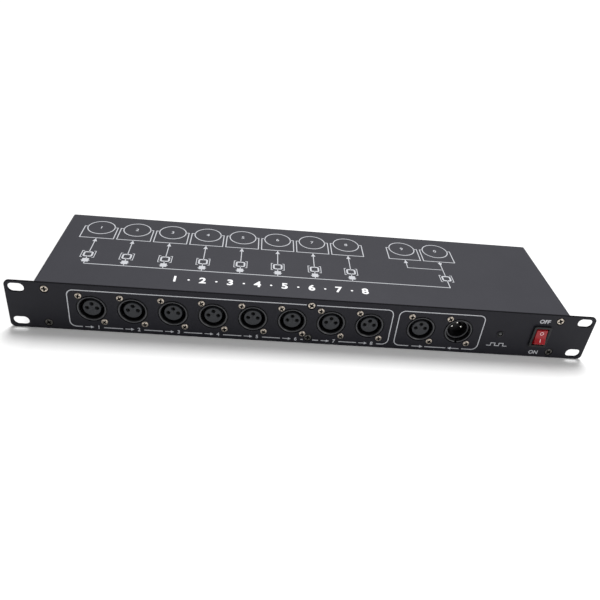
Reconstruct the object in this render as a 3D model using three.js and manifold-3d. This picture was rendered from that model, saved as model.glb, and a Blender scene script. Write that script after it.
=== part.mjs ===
import * as THREE from "three";
import { mergeVertices } from "three/addons/utils/BufferGeometryUtils.js";
import Module from "manifold-3d";

// Rack-mount signal splitter, one unit high, in millimetres.
// +X runs to the right along the front panel, +Y to the rear and +Z up. The unit lies on its flat
// bottom at z = 0, and each piece is built from the panel's front face at y = 0. The last lines move
// the whole to the middle of its own bounding box.

const wasm = await Module();
wasm.setup();

// Clearances
const fitGap = 0.3;
const wallHoleGap = 0.8;
const overrun = 1;

// Front panel and its rack slots
const panelWidth = 482.6;
const panelHeight = 44;
const panelThickness = 2;
const panelCornerRadius = 4;
const slotInset = 8.8;
const slotRise = 6.125;
const slotWidth = 13;
const slotHeight = 8.5;

// Case: a folded tray and a folded cover between the panel's ears
const earWidth = 21.3;
const caseDepth = 120;
const coverSetback = 1.2;
const sheetThickness = 1.2;
const bendRadius = 1;
const coverFloorGap = 0.6;
const sideFlangeHeight = 15;
const sideFlangeEndGap = 6;
const coverScrewEndInset = 22;
const coverScrewRise = 9;

// Places along the case, as shares of its width from the middle
const outputCount = 8;
const firstOutputShare = -0.399;
const lastOutputShare = 0.115;
const throughShare = 0.214;
const inputShare = 0.2875;
const lampShare = 0.3705;
const inletShare = 0.382;
const transformerShare = 0.209;
const smallPartsShare = 0.091;

// Socket housing
const barrelRadius = 11.9;
const boreRadius = 9.8;
const boreEdge = 0.6;
const boreDepth = 14;
const flangeWidth = 26;
const flangeHeight = 31;
const flangeThickness = 2;
const flangeCornerRadius = 3;
const housingWidth = 24;
const housingHeight = 25.6;
const housingCornerRadius = 4;
const housingFloor = 4.2;
const socketScrewOffsetX = 9.5;
const socketScrewOffsetZ = 12;
const socketScrewHeadRadius = 2.7;
const socketScrewHeadHeight = 1.3;
const socketScrewCrownRadius = 1.9;
const socketScrewRadius = 1.5;

// Socket insert and its contacts
const insertRadius = 7.4;
const insertRecess = 1;
const stubRadius = 6.3;
const stubReach = 0.6;
const contactOffset = 3.95;
const contactHoleRadius = 1.45;
const contactHoleDepth = 8;
const tailWidth = 1;
const tailThickness = 0.6;
const tailRun = 2;

// Input socket, with pins in a stepped cup
const cupMouthRadius = 10.2;
const cupStepDepth = 3.4;
const cupGrooveDepth = 6;
const cupWallRadius = 9.5;
const cupRadius = 8.3;
const keyWidth = 2;
const keyDepth = 2.6;
const pinRadius = 1.25;
const pinTipRadius = 0.7;
const pinRecess = 6.5;
const pinDiscThickness = 3;

// Panel screws, countersunk
const panelScrewInset = 9.2;
const panelScrewSpacing = 32.4;
const middleScrewShare = -0.25;
const sinkHeadRadius = 3.5;
const sinkHeadHeight = 1.8;
const sinkShankRadius = 1.6;
const panelScrewGrip = 2.4;

// Pan-head screws of the cover
const panHeadRadius = 2.9;
const panHeadHeight = 1.6;
const panCrownRadius = 2;
const panShankRadius = 1.6;
const coverScrewGrip = 3;

// Signal lamp
const lampRadius = 1.5;
const lampProud = 1.1;
const lampBack = 4.5;
const lampBezelRadius = 2.9;
const lampBezelThickness = 0.8;
const lampBezelEdge = 0.4;
const lampSleeveRadius = 2.4;
const lampSleeveReach = 1.4;
const leadThickness = 0.5;
const leadSpacing = 1.6;
const leadRun = 4;

// Rocker switch
const switchInset = 22.5;
const switchBezelWidth = 15;
const switchBezelHeight = 21;
const switchBezelThickness = 2;
const switchBezelRadius = 1.2;
const switchBezelEdge = 0.5;
const switchBodyWidth = 12.9;
const switchBodyHeight = 19.1;
const switchBodyDepth = 14;
const rockerWidth = 10.4;
const rockerTipHeight = 6.6;
const rockerTipReach = 5;
const rockerValleyReach = 3.9;
const rockerPivotDepth = 1.5;
const rockerHubHeight = 3;
const rockerHubBack = 2.2;
const rockerHubNose = 1.5;
const rockerTravel = 24;
const trunnionRadius = 1.2;
const trunnionReach = 0.7;
const tabWidth = 4.8;
const tabThickness = 0.8;
const tabLength = 8;
const tabSpacing = 7;

// Mains inlet with its fuse drawer, on the rear wall
const inletWidth = 28;
const inletHeight = 31;
const inletCornerRadius = 2;
const inletFlangeThickness = 3;
const inletEarSpacing = 40;
const inletEarRadius = 5;
const inletEarAngle = Math.PI / 3;
const inletBodyWidth = 27.4;
const inletBodyHeight = 27.4;
const inletBodyDepth = 22;
const inletScrewGrip = 4;
const cavityWidth = 24;
const cavityHeight = 16;
const cavityChamfer = 4.5;
const cavityDepth = 17;
const cavityRise = 4.6;
const bladeThickness = 2;
const bladeHeight = 4;
const bladeSpacing = 14;
const bladeOffset = 2;
const bladeRecess = 1;
const bladeTab = 7;
const drawerWidth = 22.8;
const drawerHeight = 6.6;
const drawerDepth = 17;
const drawerDrop = 8.6;
const drawerFaceWidth = 24.4;
const drawerFaceHeight = 8.2;
const drawerFaceThickness = 2;
const drawerFaceRadius = 1;
const drawerGripWidth = 9;
const drawerGripDepth = 1;
const drawerGripHeight = 3;
const troughInset = 2.6;
const troughFloor = 1;
const fuseLength = 20;
const fuseRadius = 2.4;
const fuseGlassRadius = 2.2;
const fuseCapLength = 5;

// Main circuit board and what stands on it
const boardThickness = 1.6;
const boardFrontGap = 1;
const boardDepth = 68;
const boardSideInset = 14;
const boardLampMargin = 9;
const boardCornerRadius = 2;
const chipWidth = 9.6;
const chipDepth = 6.4;
const chipHeight = 3.2;
const chipSetback = 28;
const bridgeWidth = 19;
const bridgeDepth = 5;
const bridgeHeight = 11;
const standoffWidth = 5.5;
const standoffInset = 6;
const standoffStudRadius = 1.45;
const standoffStudReach = 2.4;

// Power supply
const coreWidth = 42;
const coreHeight = 35;
const coreStack = 16;
const coreLimb = 7;
const coreTongue = 14;
const coreYoke = 7;
const strapThickness = 1;
const strapFoot = 11;
const strapScrewRadius = 2.6;
const strapScrewHeight = 1.4;
const coilWidth = 26.4;
const coilDepth = 27;
const coilCornerRadius = 3;
const transformerRearGap = 8;
const smallPartsPitch = 26;
const smallPartsSetback = 20;
const sinkWidth = 23;
const sinkDepth = 12;
const sinkHeight = 24;
const sinkWall = 2.4;
const finCount = 6;
const finThickness = 1.2;
const regulatorWidth = 10;
const regulatorThickness = 4.4;
const regulatorHeight = 15;
const regulatorTabThickness = 1.3;
const regulatorTabHeight = 6;
const regulatorLegWidth = 0.8;
const regulatorLegHeight = 4;
const regulatorLegSpacing = 2.54;
const largeCapacitorRadius = 8;
const largeCapacitorHeight = 24;
const smallCapacitorRadius = 5;
const smallCapacitorHeight = 14;
const capacitorEdge = 0.8;

// Facets
const barrelFacets = 20;
const insertFacets = 16;
const stubFacets = 8;
const smallFacets = 8;
const screwFacets = 12;
const wallHoleFacets = 12;
const wallScrewFacets = 6;
const slotFacets = 6;
const standoffSides = 6;
const cornerFacets = 2;
const bendFacets = 2;

// Places worked out from the sizes above
const wallBack = panelThickness + sheetThickness;
const flangeBack = wallBack + flangeThickness;
const rowHeight = panelHeight / 2;
const caseWidth = panelWidth - 2 * earWidth;
const caseHeight = panelHeight - coverSetback;
const caseBack = panelThickness + caseDepth;
const trayHalf = caseWidth / 2 - sheetThickness - fitGap;
const trayTop = caseHeight - sheetThickness - fitGap;
const housingBack = boreDepth + housingFloor;
const tailBack = housingBack + stubReach + tailRun;
const boardTop = rowHeight - housingHeight / 2 - fitGap;
const boardBottom = boardTop - boardThickness;
const boardFront = flangeBack + boardFrontGap;
const boardBack = boardFront + boardDepth;
const socketPitch = ((lastOutputShare - firstOutputShare) * caseWidth) / (outputCount - 1);
const outputCentres = Array.from(
  { length: outputCount },
  (_, i) => firstOutputShare * caseWidth + i * socketPitch,
);
const throughX = throughShare * caseWidth;
const inputX = inputShare * caseWidth;
const socketCentres = [...outputCentres, throughX, inputX];
const lampX = lampShare * caseWidth;
const inletX = inletShare * caseWidth;
const transformerX = transformerShare * caseWidth;
const smallPartsX = smallPartsShare * caseWidth;
const switchX = caseWidth / 2 - switchInset;
const panelScrewX = caseWidth / 2 - panelScrewInset;
const socketRoom = socketPitch - flangeWidth;
const middleSocketX = outputCentres[outputCount - 2];
const middleScrewX = middleSocketX - socketPitch / 2 + middleScrewShare * socketRoom;
const panelScrewPlaces = [-panelScrewX, middleScrewX, panelScrewX].flatMap((x) =>
  [1, -1].map((side) => [x, rowHeight + (side * panelScrewSpacing) / 2]),
);
const rockerSweep = Math.hypot(rockerTipHeight, rockerTipReach);
const rockerOpeningWidth = rockerWidth + 2 * fitGap;
const rockerOpeningHeight = 2 * (rockerSweep + fitGap);

// Solids: closed three.js geometry that manifold-3d can join and cut
function solidOf(geometry) {
  const bare = geometry.clone();
  bare.deleteAttribute("normal");
  bare.deleteAttribute("uv");
  const merged = mergeVertices(bare);
  const corners = merged.index.array;
  const faces = [];
  for (let i = 0; i < corners.length; i += 3) {
    const [a, b, c] = corners.slice(i, i + 3);
    if (a !== b && b !== c && c !== a) faces.push(a, b, c);
  }
  return new wasm.Manifold(
    new wasm.Mesh({
      numProp: 3,
      vertProperties: new Float32Array(merged.attributes.position.array),
      triVerts: new Uint32Array(faces),
    }),
  );
}

function geometryOf(solid) {
  const mesh = solid.getMesh();
  const geometry = new THREE.BufferGeometry();
  geometry.setAttribute("position", new THREE.BufferAttribute(mesh.vertProperties, 3));
  geometry.setIndex(new THREE.BufferAttribute(mesh.triVerts, 1));
  const faceted = geometry.toNonIndexed();
  faceted.computeVertexNormals();
  return faceted;
}

const joined = (solids) => solids.reduce((whole, solid) => whole.add(solid));
const cutFrom = (whole, tools) => tools.reduce((left, tool) => left.subtract(tool), whole);

// Outlines
function arc(x, y, radius, from, to, facets) {
  return Array.from({ length: facets + 1 }, (_, i) => {
    const angle = from + ((to - from) * i) / facets;
    return new THREE.Vector2(x + radius * Math.cos(angle), y + radius * Math.sin(angle));
  });
}

const circle = (x, y, radius, facets) =>
  arc(x, y, radius, 0, 2 * Math.PI, facets).slice(0, facets);

function roundedRectangle(x, y, width, height, radius) {
  const right = width / 2 - radius;
  const top = height / 2 - radius;
  const corners = [[right, top], [-right, top], [-right, -top], [right, -top]];
  return corners.flatMap(([dx, dy], i) =>
    arc(x + dx, y + dy, radius, (i * Math.PI) / 2, ((i + 1) * Math.PI) / 2, cornerFacets),
  );
}

function obround(x, y, width, height) {
  const radius = height / 2;
  const reach = width / 2 - radius;
  return [
    ...arc(x + reach, y, radius, -Math.PI / 2, Math.PI / 2, slotFacets),
    ...arc(x - reach, y, radius, Math.PI / 2, (3 * Math.PI) / 2, slotFacets),
  ];
}

function rectangle(left, bottom, right, top) {
  return [[left, bottom], [right, bottom], [right, top], [left, top]].map(
    ([x, y]) => new THREE.Vector2(x, y),
  );
}

// Outline of a sheet folded square along a path whose inside lies to its left
function foldedOutline(path) {
  const points = path.map(([x, y]) => new THREE.Vector2(x, y));
  const turns = points.slice(1).map((point, i) => point.clone().sub(points[i]).normalize());
  const inward = turns.map((along) => new THREE.Vector2(-along.y, along.x));
  const side = (offset) => {
    const line = [points[0].clone().addScaledVector(inward[0], offset)];
    for (let i = 1; i < points.length - 1; i += 1) {
      const reach = bendRadius + sheetThickness;
      const centre = points[i].clone().addScaledVector(inward[i - 1], reach);
      centre.addScaledVector(inward[i], reach);
      const from = Math.atan2(-inward[i - 1].y, -inward[i - 1].x);
      line.push(...arc(centre.x, centre.y, reach - offset, from, from + Math.PI / 2, bendFacets));
    }
    const last = points.length - 1;
    line.push(points[last].clone().addScaledVector(inward[last - 1], offset));
    return line;
  };
  return [...side(0), ...side(sheetThickness).reverse()];
}

// Prisms: an outline in X and Z run along Y, one in Y and Z run along X, and one in X and Y run up
const extruded = (outline, depth) =>
  new THREE.ExtrudeGeometry(new THREE.Shape(outline), { depth, bevelEnabled: false });

function alongY(outline, from, to, holes = []) {
  const prism = solidOf(extruded(outline, to - from).rotateX(Math.PI / 2).translate(0, to, 0));
  return cutFrom(prism, holes.map((hole) => alongY(hole, from - overrun, to + overrun)));
}

function upward(outline, from, to, holes = []) {
  const prism = solidOf(extruded(outline, to - from).translate(0, 0, from));
  return cutFrom(prism, holes.map((hole) => upward(hole, from - overrun, to + overrun)));
}

function alongX(outline, from, to) {
  const turn = new THREE.Matrix4().makeBasis(
    new THREE.Vector3(0, 1, 0),
    new THREE.Vector3(0, 0, 1),
    new THREE.Vector3(1, 0, 0),
  );
  return solidOf(extruded(outline, to - from).applyMatrix4(turn).translate(from, 0, 0));
}

const block = (left, right, front, back, bottom, top) =>
  alongY(rectangle(left, bottom, right, top), front, back);

// Turned pieces: a profile of [radius, place] points that starts and ends on the axis
function turned(profile, facets) {
  const points = profile.map(([radius, place]) => new THREE.Vector2(radius, place));
  return new THREE.LatheGeometry(points, facets);
}

const turnedAlongY = (profile, facets, x = 0, z = 0) =>
  solidOf(turned(profile, facets).translate(x, 0, z));

const turnedUpward = (profile, facets) => solidOf(turned(profile, facets).rotateX(Math.PI / 2));

const rodAlongY = (radius, from, to, facets, x = 0, z = 0) =>
  turnedAlongY([[0, from], [radius, from], [radius, to], [0, to]], facets, x, z);

// A strip that runs back from a contact and turns down to the board, drawn from the row's height
function tail(x, z, from, width, thickness, back) {
  const foot = boardTop - rowHeight;
  const half = thickness / 2;
  const bent = [
    [from, z - half],
    [back - thickness, z - half],
    [back - thickness, foot],
    [back, foot],
    [back, z + half],
    [from, z + half],
  ].map(([y, rise]) => new THREE.Vector2(y, rise));
  return alongX(bent, x - width / 2, x + width / 2);
}

// Holes that the panel and the tray's front wall share, each set with its own clearance
function socketHoles(gap, facets, screwHoleFacets) {
  return socketCentres.flatMap((x) => [
    circle(x, rowHeight, barrelRadius + gap, facets),
    ...[1, -1].map((side) =>
      circle(
        x - side * socketScrewOffsetX,
        rowHeight + side * socketScrewOffsetZ,
        socketScrewRadius + gap,
        screwHoleFacets,
      ),
    ),
  ]);
}

function controlHoles() {
  const width = switchBodyWidth + 2 * fitGap;
  const height = switchBodyHeight + 2 * fitGap;
  return [
    circle(lampX, rowHeight, lampSleeveRadius + fitGap, screwFacets),
    rectangle(
      switchX - width / 2,
      rowHeight - height / 2,
      switchX + width / 2,
      rowHeight + height / 2,
    ),
  ];
}

// Front panel
function frontPanel() {
  const slots = [1, -1].flatMap((side) =>
    [1, -1].map((level) =>
      obround(
        side * (panelWidth / 2 - slotInset),
        rowHeight + level * (panelHeight / 2 - slotRise),
        slotWidth,
        slotHeight,
      ),
    ),
  );
  const outline = roundedRectangle(0, rowHeight, panelWidth, panelHeight, panelCornerRadius);
  const holes = [
    ...slots,
    ...socketHoles(fitGap, barrelFacets, smallFacets),
    ...controlHoles(),
  ];
  const plate = alongY(outline, 0, panelThickness, holes);
  const sinks = panelScrewPlaces.map(([x, z]) =>
    turnedAlongY(
      [
        [0, -overrun],
        [sinkHeadRadius + fitGap, -overrun],
        [sinkHeadRadius + fitGap, 0],
        [sinkShankRadius + fitGap, sinkHeadHeight],
        [sinkShankRadius + fitGap, panelThickness + overrun],
        [0, panelThickness + overrun],
      ],
      screwFacets,
      x,
      z,
    ),
  );
  return cutFrom(plate, sinks);
}

// Tray: bottom, front wall and rear wall folded from one sheet, with a flange up each side
function chassisTray() {
  const walls = foldedOutline([
    [panelThickness, trayTop],
    [panelThickness, 0],
    [caseBack, 0],
    [caseBack, trayTop],
  ]);
  const reach = bendRadius + sheetThickness;
  const flangeFront = panelThickness + sideFlangeEndGap;
  const flangeRear = caseBack - sideFlangeEndGap;
  const notches = [-1, 1].map((side) => {
    const inner = side * (trayHalf - reach);
    const outer = side * (trayHalf + overrun);
    return block(
      Math.min(inner, outer),
      Math.max(inner, outer),
      flangeFront - fitGap,
      flangeRear + fitGap,
      -overrun,
      reach,
    );
  });
  const flange = alongY(
    foldedOutline([
      [trayHalf - 2 * reach, 0],
      [trayHalf, 0],
      [trayHalf, sideFlangeHeight],
    ]),
    flangeFront,
    flangeRear,
  );
  const flanges = [flange, flange.mirror([1, 0, 0])];
  const frontHoles = [
    ...socketHoles(wallHoleGap, wallHoleFacets, wallScrewFacets),
    ...controlHoles(),
    ...panelScrewPlaces.map(([x, z]) =>
      circle(x, z, sinkShankRadius + wallHoleGap, wallScrewFacets),
    ),
  ];
  const frontCuts = frontHoles.map((hole) =>
    alongY(hole, panelThickness - overrun, wallBack + overrun),
  );
  const wallInside = caseBack - sheetThickness;
  const inletHoles = [
    rectangle(
      inletX - inletBodyWidth / 2 - fitGap,
      rowHeight - inletBodyHeight / 2 - fitGap,
      inletX + inletBodyWidth / 2 + fitGap,
      rowHeight + inletBodyHeight / 2 + fitGap,
    ),
    ...[-1, 1].map((side) =>
      circle(
        inletX + (side * inletEarSpacing) / 2,
        rowHeight,
        sinkShankRadius + fitGap,
        screwFacets,
      ),
    ),
  ];
  const rearCuts = inletHoles.map((hole) =>
    alongY(hole, wallInside - overrun, caseBack + overrun),
  );
  const tray = cutFrom(alongX(walls, -trayHalf, trayHalf), notches);
  return cutFrom(joined([tray, ...flanges]), [...frontCuts, ...rearCuts, ...sideScrewHoles()]);
}

// Holes for the cover's screws, through both sides of the case
function sideScrewHoles() {
  const half = caseWidth / 2 + overrun;
  return coverScrewDepths().map((y) =>
    alongX(circle(y, coverScrewRise, panShankRadius + fitGap, screwFacets), -half, half),
  );
}

const coverScrewDepths = () => [
  panelThickness + coverScrewEndInset,
  caseBack - coverScrewEndInset,
];

// Cover: top and both sides folded from one sheet
function topCover() {
  const half = caseWidth / 2;
  const outline = foldedOutline([
    [half, coverFloorGap],
    [half, caseHeight],
    [-half, caseHeight],
    [-half, coverFloorGap],
  ]);
  return cutFrom(alongY(outline, panelThickness, caseBack), sideScrewHoles());
}

// Body that every socket shares: barrel, flange, housing and the two screws that hold it
function socketBody() {
  const barrel = rodAlongY(barrelRadius, 0, flangeBack, barrelFacets);
  const flange = alongY(
    roundedRectangle(0, 0, flangeWidth, flangeHeight, flangeCornerRadius),
    wallBack,
    flangeBack,
  );
  const housing = alongY(
    roundedRectangle(0, 0, housingWidth, housingHeight, housingCornerRadius),
    wallBack,
    housingBack,
  );
  const screws = [1, -1].map((side) =>
    turnedAlongY(
      [
        [0, -socketScrewHeadHeight],
        [socketScrewCrownRadius, -socketScrewHeadHeight],
        [socketScrewHeadRadius, 0],
        [socketScrewRadius, 0],
        [socketScrewRadius, flangeBack],
        [0, flangeBack],
      ],
      smallFacets,
      -side * socketScrewOffsetX,
      side * socketScrewOffsetZ,
    ),
  );
  const stubHole = rodAlongY(
    stubRadius + fitGap,
    boreDepth - overrun,
    housingBack + overrun,
    stubFacets,
  );
  return { body: joined([barrel, flange, housing, ...screws]), stubHole };
}

// Female socket: a ring-shaped bore round the insert
function femaleSocket() {
  const { body, stubHole } = socketBody();
  const bore = turnedAlongY(
    [
      [0, -overrun],
      [boreRadius + boreEdge, -overrun],
      [boreRadius + boreEdge, 0],
      [boreRadius, boreEdge],
      [boreRadius, boreDepth],
      [0, boreDepth],
    ],
    barrelFacets,
  );
  return cutFrom(body, [bore, stubHole]);
}

// Contacts sit to the left, to the right and above the socket's axis
const contactPlaces = [
  ["left", -contactOffset, 0],
  ["right", contactOffset, 0],
  ["top", 0, contactOffset],
];

// Rear end of an insert, which passes through the housing's back
const insertStub = () =>
  rodAlongY(stubRadius, boreDepth - stubReach, housingBack + stubReach, stubFacets);

function femaleInsert() {
  const core = turnedAlongY(
    [
      [0, insertRecess],
      [insertRadius, insertRecess],
      [insertRadius, boreDepth],
      [0, boreDepth],
    ],
    insertFacets,
  );
  const holes = contactPlaces.map(([, x, z]) =>
    rodAlongY(contactHoleRadius, 0, insertRecess + contactHoleDepth, smallFacets, x, z),
  );
  const tails = contactPlaces.map(([, x, z]) =>
    tail(x, z, housingBack, tailWidth, tailThickness, tailBack),
  );
  return joined([cutFrom(core, holes), insertStub(), ...tails]);
}

// Input socket: a mouth, a groove round an inner wall, and the cup that holds the pins
function inputSocket() {
  const { body, stubHole } = socketBody();
  const cup = turnedAlongY(
    [
      [0, -overrun],
      [cupMouthRadius + boreEdge, -overrun],
      [cupMouthRadius + boreEdge, 0],
      [cupMouthRadius, boreEdge],
      [cupMouthRadius, cupGrooveDepth],
      [cupWallRadius, cupGrooveDepth],
      [cupWallRadius, cupStepDepth],
      [cupRadius, cupStepDepth],
      [cupRadius, boreDepth],
      [0, boreDepth],
    ],
    barrelFacets,
  );
  const key = block(
    -keyWidth / 2,
    keyWidth / 2,
    -overrun,
    keyDepth,
    -barrelRadius - overrun,
    -cupWallRadius,
  );
  return cutFrom(body, [cup, stubHole, key]);
}

function inputInsert() {
  const core = turnedAlongY(
    [
      [0, boreDepth - pinDiscThickness],
      [cupRadius - fitGap, boreDepth - pinDiscThickness],
      [cupRadius - fitGap, boreDepth],
      [0, boreDepth],
    ],
    insertFacets,
  );
  const back = housingBack + stubReach + overrun;
  const holes = contactPlaces.map(([, x, z]) =>
    rodAlongY(pinRadius + fitGap, boreDepth - pinDiscThickness - overrun, back, smallFacets, x, z),
  );
  return cutFrom(joined([core, insertStub()]), holes);
}

function inputPin(x, z) {
  const end = tailBack - tailThickness;
  const pin = turnedAlongY(
    [
      [0, pinRecess],
      [pinTipRadius, pinRecess],
      [pinRadius, pinRecess + pinRadius],
      [pinRadius, end],
      [0, end],
    ],
    smallFacets,
    x,
    z,
  );
  return joined([pin, tail(x, z, end - tailRun / 2, tailWidth, tailThickness, tailBack)]);
}

// Screws: the axis runs along Y, with the head's seat at y = 0
function countersunkScrew(grip) {
  return turnedAlongY(
    [
      [0, 0],
      [sinkHeadRadius, 0],
      [sinkShankRadius, sinkHeadHeight],
      [sinkShankRadius, grip],
      [0, grip],
    ],
    screwFacets,
  );
}

function panHeadScrew(grip) {
  return turnedAlongY(
    [
      [0, -panHeadHeight],
      [panCrownRadius, -panHeadHeight],
      [panHeadRadius, -panHeadHeight / 2],
      [panHeadRadius, 0],
      [panShankRadius, 0],
      [panShankRadius, grip],
      [0, grip],
    ],
    smallFacets,
  );
}

// Signal lamp and the bezel that holds it
function lampBezel() {
  const sleeve = turnedAlongY(
    [
      [0, -lampBezelThickness],
      [lampBezelRadius - lampBezelEdge, -lampBezelThickness],
      [lampBezelRadius, lampBezelEdge - lampBezelThickness],
      [lampBezelRadius, 0],
      [lampSleeveRadius, 0],
      [lampSleeveRadius, wallBack + lampSleeveReach],
      [0, wallBack + lampSleeveReach],
    ],
    screwFacets,
  );
  const bore = rodAlongY(
    lampRadius + fitGap,
    -lampBezelThickness - overrun,
    wallBack + lampSleeveReach + overrun,
    screwFacets,
  );
  return cutFrom(sleeve, [bore]);
}

function signalLamp() {
  const tip = lampRadius - lampProud;
  const dome = arc(0, tip, lampRadius, -Math.PI / 2, 0, cornerFacets).map(({ x, y }) => [x, y]);
  const lens = turnedAlongY([...dome, [lampRadius, lampBack], [0, lampBack]], screwFacets);
  const leadStart = lampBack - lampRadius;
  const leadEnd = lampBack + leadRun;
  const leads = [-1, 1].map((side) =>
    tail((side * leadSpacing) / 2, 0, leadStart, leadThickness, leadThickness, leadEnd),
  );
  return joined([lens, ...leads]);
}

// Rocker switch, drawn round its own middle
function switchBody() {
  const bezelFront = -switchBezelThickness;
  const bezel = (inset, from, to) =>
    alongY(
      roundedRectangle(
        0,
        0,
        switchBezelWidth - 2 * inset,
        switchBezelHeight - 2 * inset,
        switchBezelRadius - inset,
      ),
      from,
      to,
    );
  const body = block(
    -switchBodyWidth / 2,
    switchBodyWidth / 2,
    bezelFront + switchBezelEdge,
    switchBodyDepth,
    -switchBodyHeight / 2,
    switchBodyHeight / 2,
  );
  const tabs = [-1, 1].map((side) =>
    block(
      -tabWidth / 2,
      tabWidth / 2,
      switchBodyDepth - tabThickness,
      switchBodyDepth + tabLength,
      (side * tabSpacing - tabThickness) / 2,
      (side * tabSpacing + tabThickness) / 2,
    ),
  );
  const opening = block(
    -rockerOpeningWidth / 2,
    rockerOpeningWidth / 2,
    bezelFront - overrun,
    rockerPivotDepth + rockerSweep / 2,
    -rockerOpeningHeight / 2,
    rockerOpeningHeight / 2,
  );
  const half = switchBodyWidth / 2 + overrun;
  const trunnions = alongX(
    circle(rockerPivotDepth, 0, trunnionRadius + fitGap, smallFacets),
    -half,
    half,
  );
  const whole = joined([
    bezel(switchBezelEdge, bezelFront, bezelFront + switchBezelEdge),
    bezel(0, bezelFront + switchBezelEdge, 0),
    body,
    ...tabs,
  ]);
  return cutFrom(whole, [opening, trunnions]);
}

// Rocker, drawn level round its pivot: two slopes to a shallow valley, ends that sweep the opening
function switchRocker() {
  const tipAngle = Math.atan2(rockerTipHeight, -rockerTipReach);
  const end = arc(0, 0, rockerSweep, tipAngle, Math.PI / 2, cornerFacets);
  const mirrored = end.map(({ x, y }) => new THREE.Vector2(x, -y)).reverse();
  const hub = [
    [0, rockerHubHeight],
    [rockerHubBack, rockerHubNose],
    [rockerHubBack, -rockerHubNose],
    [0, -rockerHubHeight],
  ].map(([y, z]) => new THREE.Vector2(y, z));
  const outline = [new THREE.Vector2(-rockerValleyReach, 0), ...end, ...hub, ...mirrored];
  const cap = alongX(outline.reverse(), -rockerWidth / 2, rockerWidth / 2);
  const reach = rockerWidth / 2 + trunnionReach;
  return joined([cap, alongX(circle(0, 0, trunnionRadius, smallFacets), -reach, reach)]);
}

// Mains inlet, drawn round its own middle with the rear wall's outer face at y = 0
function inletBody() {
  const face = inletFlangeThickness;
  const halfWidth = inletWidth / 2;
  const halfHeight = inletHeight / 2;
  const ear = inletEarSpacing / 2;
  const flange = alongY(
    [
      ...arc(ear, 0, inletEarRadius, -inletEarAngle, inletEarAngle, smallFacets),
      new THREE.Vector2(halfWidth, halfHeight),
      new THREE.Vector2(-halfWidth, halfHeight),
      ...arc(
        -ear,
        0,
        inletEarRadius,
        Math.PI - inletEarAngle,
        Math.PI + inletEarAngle,
        smallFacets,
      ),
      new THREE.Vector2(-halfWidth, -halfHeight),
      new THREE.Vector2(halfWidth, -halfHeight),
    ],
    0,
    face,
  );
  const body = alongY(
    roundedRectangle(0, 0, inletBodyWidth, inletBodyHeight, inletCornerRadius),
    -inletBodyDepth,
    face,
  );
  const half = cavityWidth / 2;
  const cavity = alongY(
    [
      [-half, cavityRise - cavityHeight / 2],
      [half, cavityRise - cavityHeight / 2],
      [half, cavityRise + cavityHeight / 2 - cavityChamfer],
      [half - cavityChamfer, cavityRise + cavityHeight / 2],
      [cavityChamfer - half, cavityRise + cavityHeight / 2],
      [-half, cavityRise + cavityHeight / 2 - cavityChamfer],
    ].map(([x, z]) => new THREE.Vector2(x, z)),
    face - cavityDepth,
    face + overrun,
  );
  const blades = bladePlaces().map(([, x, z]) =>
    block(
      x - bladeThickness / 2 - fitGap,
      x + bladeThickness / 2 + fitGap,
      -inletBodyDepth - overrun,
      face,
      z - bladeHeight / 2 - fitGap,
      z + bladeHeight / 2 + fitGap,
    ),
  );
  const drawer = block(
    -drawerWidth / 2 - fitGap,
    drawerWidth / 2 + fitGap,
    -drawerDepth - fitGap,
    face + overrun,
    -drawerDrop - drawerHeight / 2 - fitGap,
    -drawerDrop + drawerHeight / 2 + fitGap,
  );
  const screwHoles = [-1, 1].map((side) =>
    turnedAlongY(
      [
        [0, -overrun],
        [sinkShankRadius + fitGap, -overrun],
        [sinkShankRadius + fitGap, face - sinkHeadHeight],
        [sinkHeadRadius + fitGap, face],
        [sinkHeadRadius + fitGap, face + overrun],
        [0, face + overrun],
      ],
      screwFacets,
      side * ear,
    ),
  );
  return cutFrom(joined([flange, body]), [cavity, ...blades, drawer, ...screwHoles]);
}

const bladePlaces = () => [
  ["line", -bladeSpacing / 2, cavityRise - bladeOffset],
  ["neutral", bladeSpacing / 2, cavityRise - bladeOffset],
  ["earth", 0, cavityRise + bladeOffset],
];

function inletBlade() {
  return block(
    -bladeThickness / 2,
    bladeThickness / 2,
    -inletBodyDepth - bladeTab,
    inletFlangeThickness - bladeRecess,
    -bladeHeight / 2,
    bladeHeight / 2,
  );
}

// Fuse drawer: a face plate with a finger notch and a tray with a trough for the fuse
function fuseDrawer() {
  const face = inletFlangeThickness;
  const tray = block(
    -drawerWidth / 2,
    drawerWidth / 2,
    -drawerDepth,
    face + drawerFaceThickness,
    -drawerHeight / 2,
    drawerHeight / 2,
  );
  const plate = alongY(
    roundedRectangle(0, 0, drawerFaceWidth, drawerFaceHeight, drawerFaceRadius),
    face,
    face + drawerFaceThickness,
  );
  const half = fuseLength / 2 + fitGap;
  const trough = block(
    -half,
    half,
    troughInset - drawerDepth,
    troughInset - drawerDepth + 2 * (fuseRadius + fitGap),
    troughFloor - drawerHeight / 2,
    drawerHeight,
  );
  const grip = block(
    -drawerGripWidth / 2,
    drawerGripWidth / 2,
    face + drawerFaceThickness - drawerGripDepth,
    face + drawerFaceThickness + overrun,
    -drawerGripHeight / 2,
    drawerGripHeight / 2,
  );
  return cutFrom(joined([tray, plate]), [trough, grip]);
}

// Glass fuse between two metal caps, along X
function fuseLink() {
  const end = fuseLength / 2;
  const inner = end - fuseCapLength;
  const profile = [
    [0, -end],
    [fuseRadius, -end],
    [fuseRadius, -inner],
    [fuseGlassRadius, -inner],
    [fuseGlassRadius, inner],
    [fuseRadius, inner],
    [fuseRadius, end],
    [0, end],
  ];
  return solidOf(turned(profile, smallFacets).rotateZ(-Math.PI / 2));
}

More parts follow.
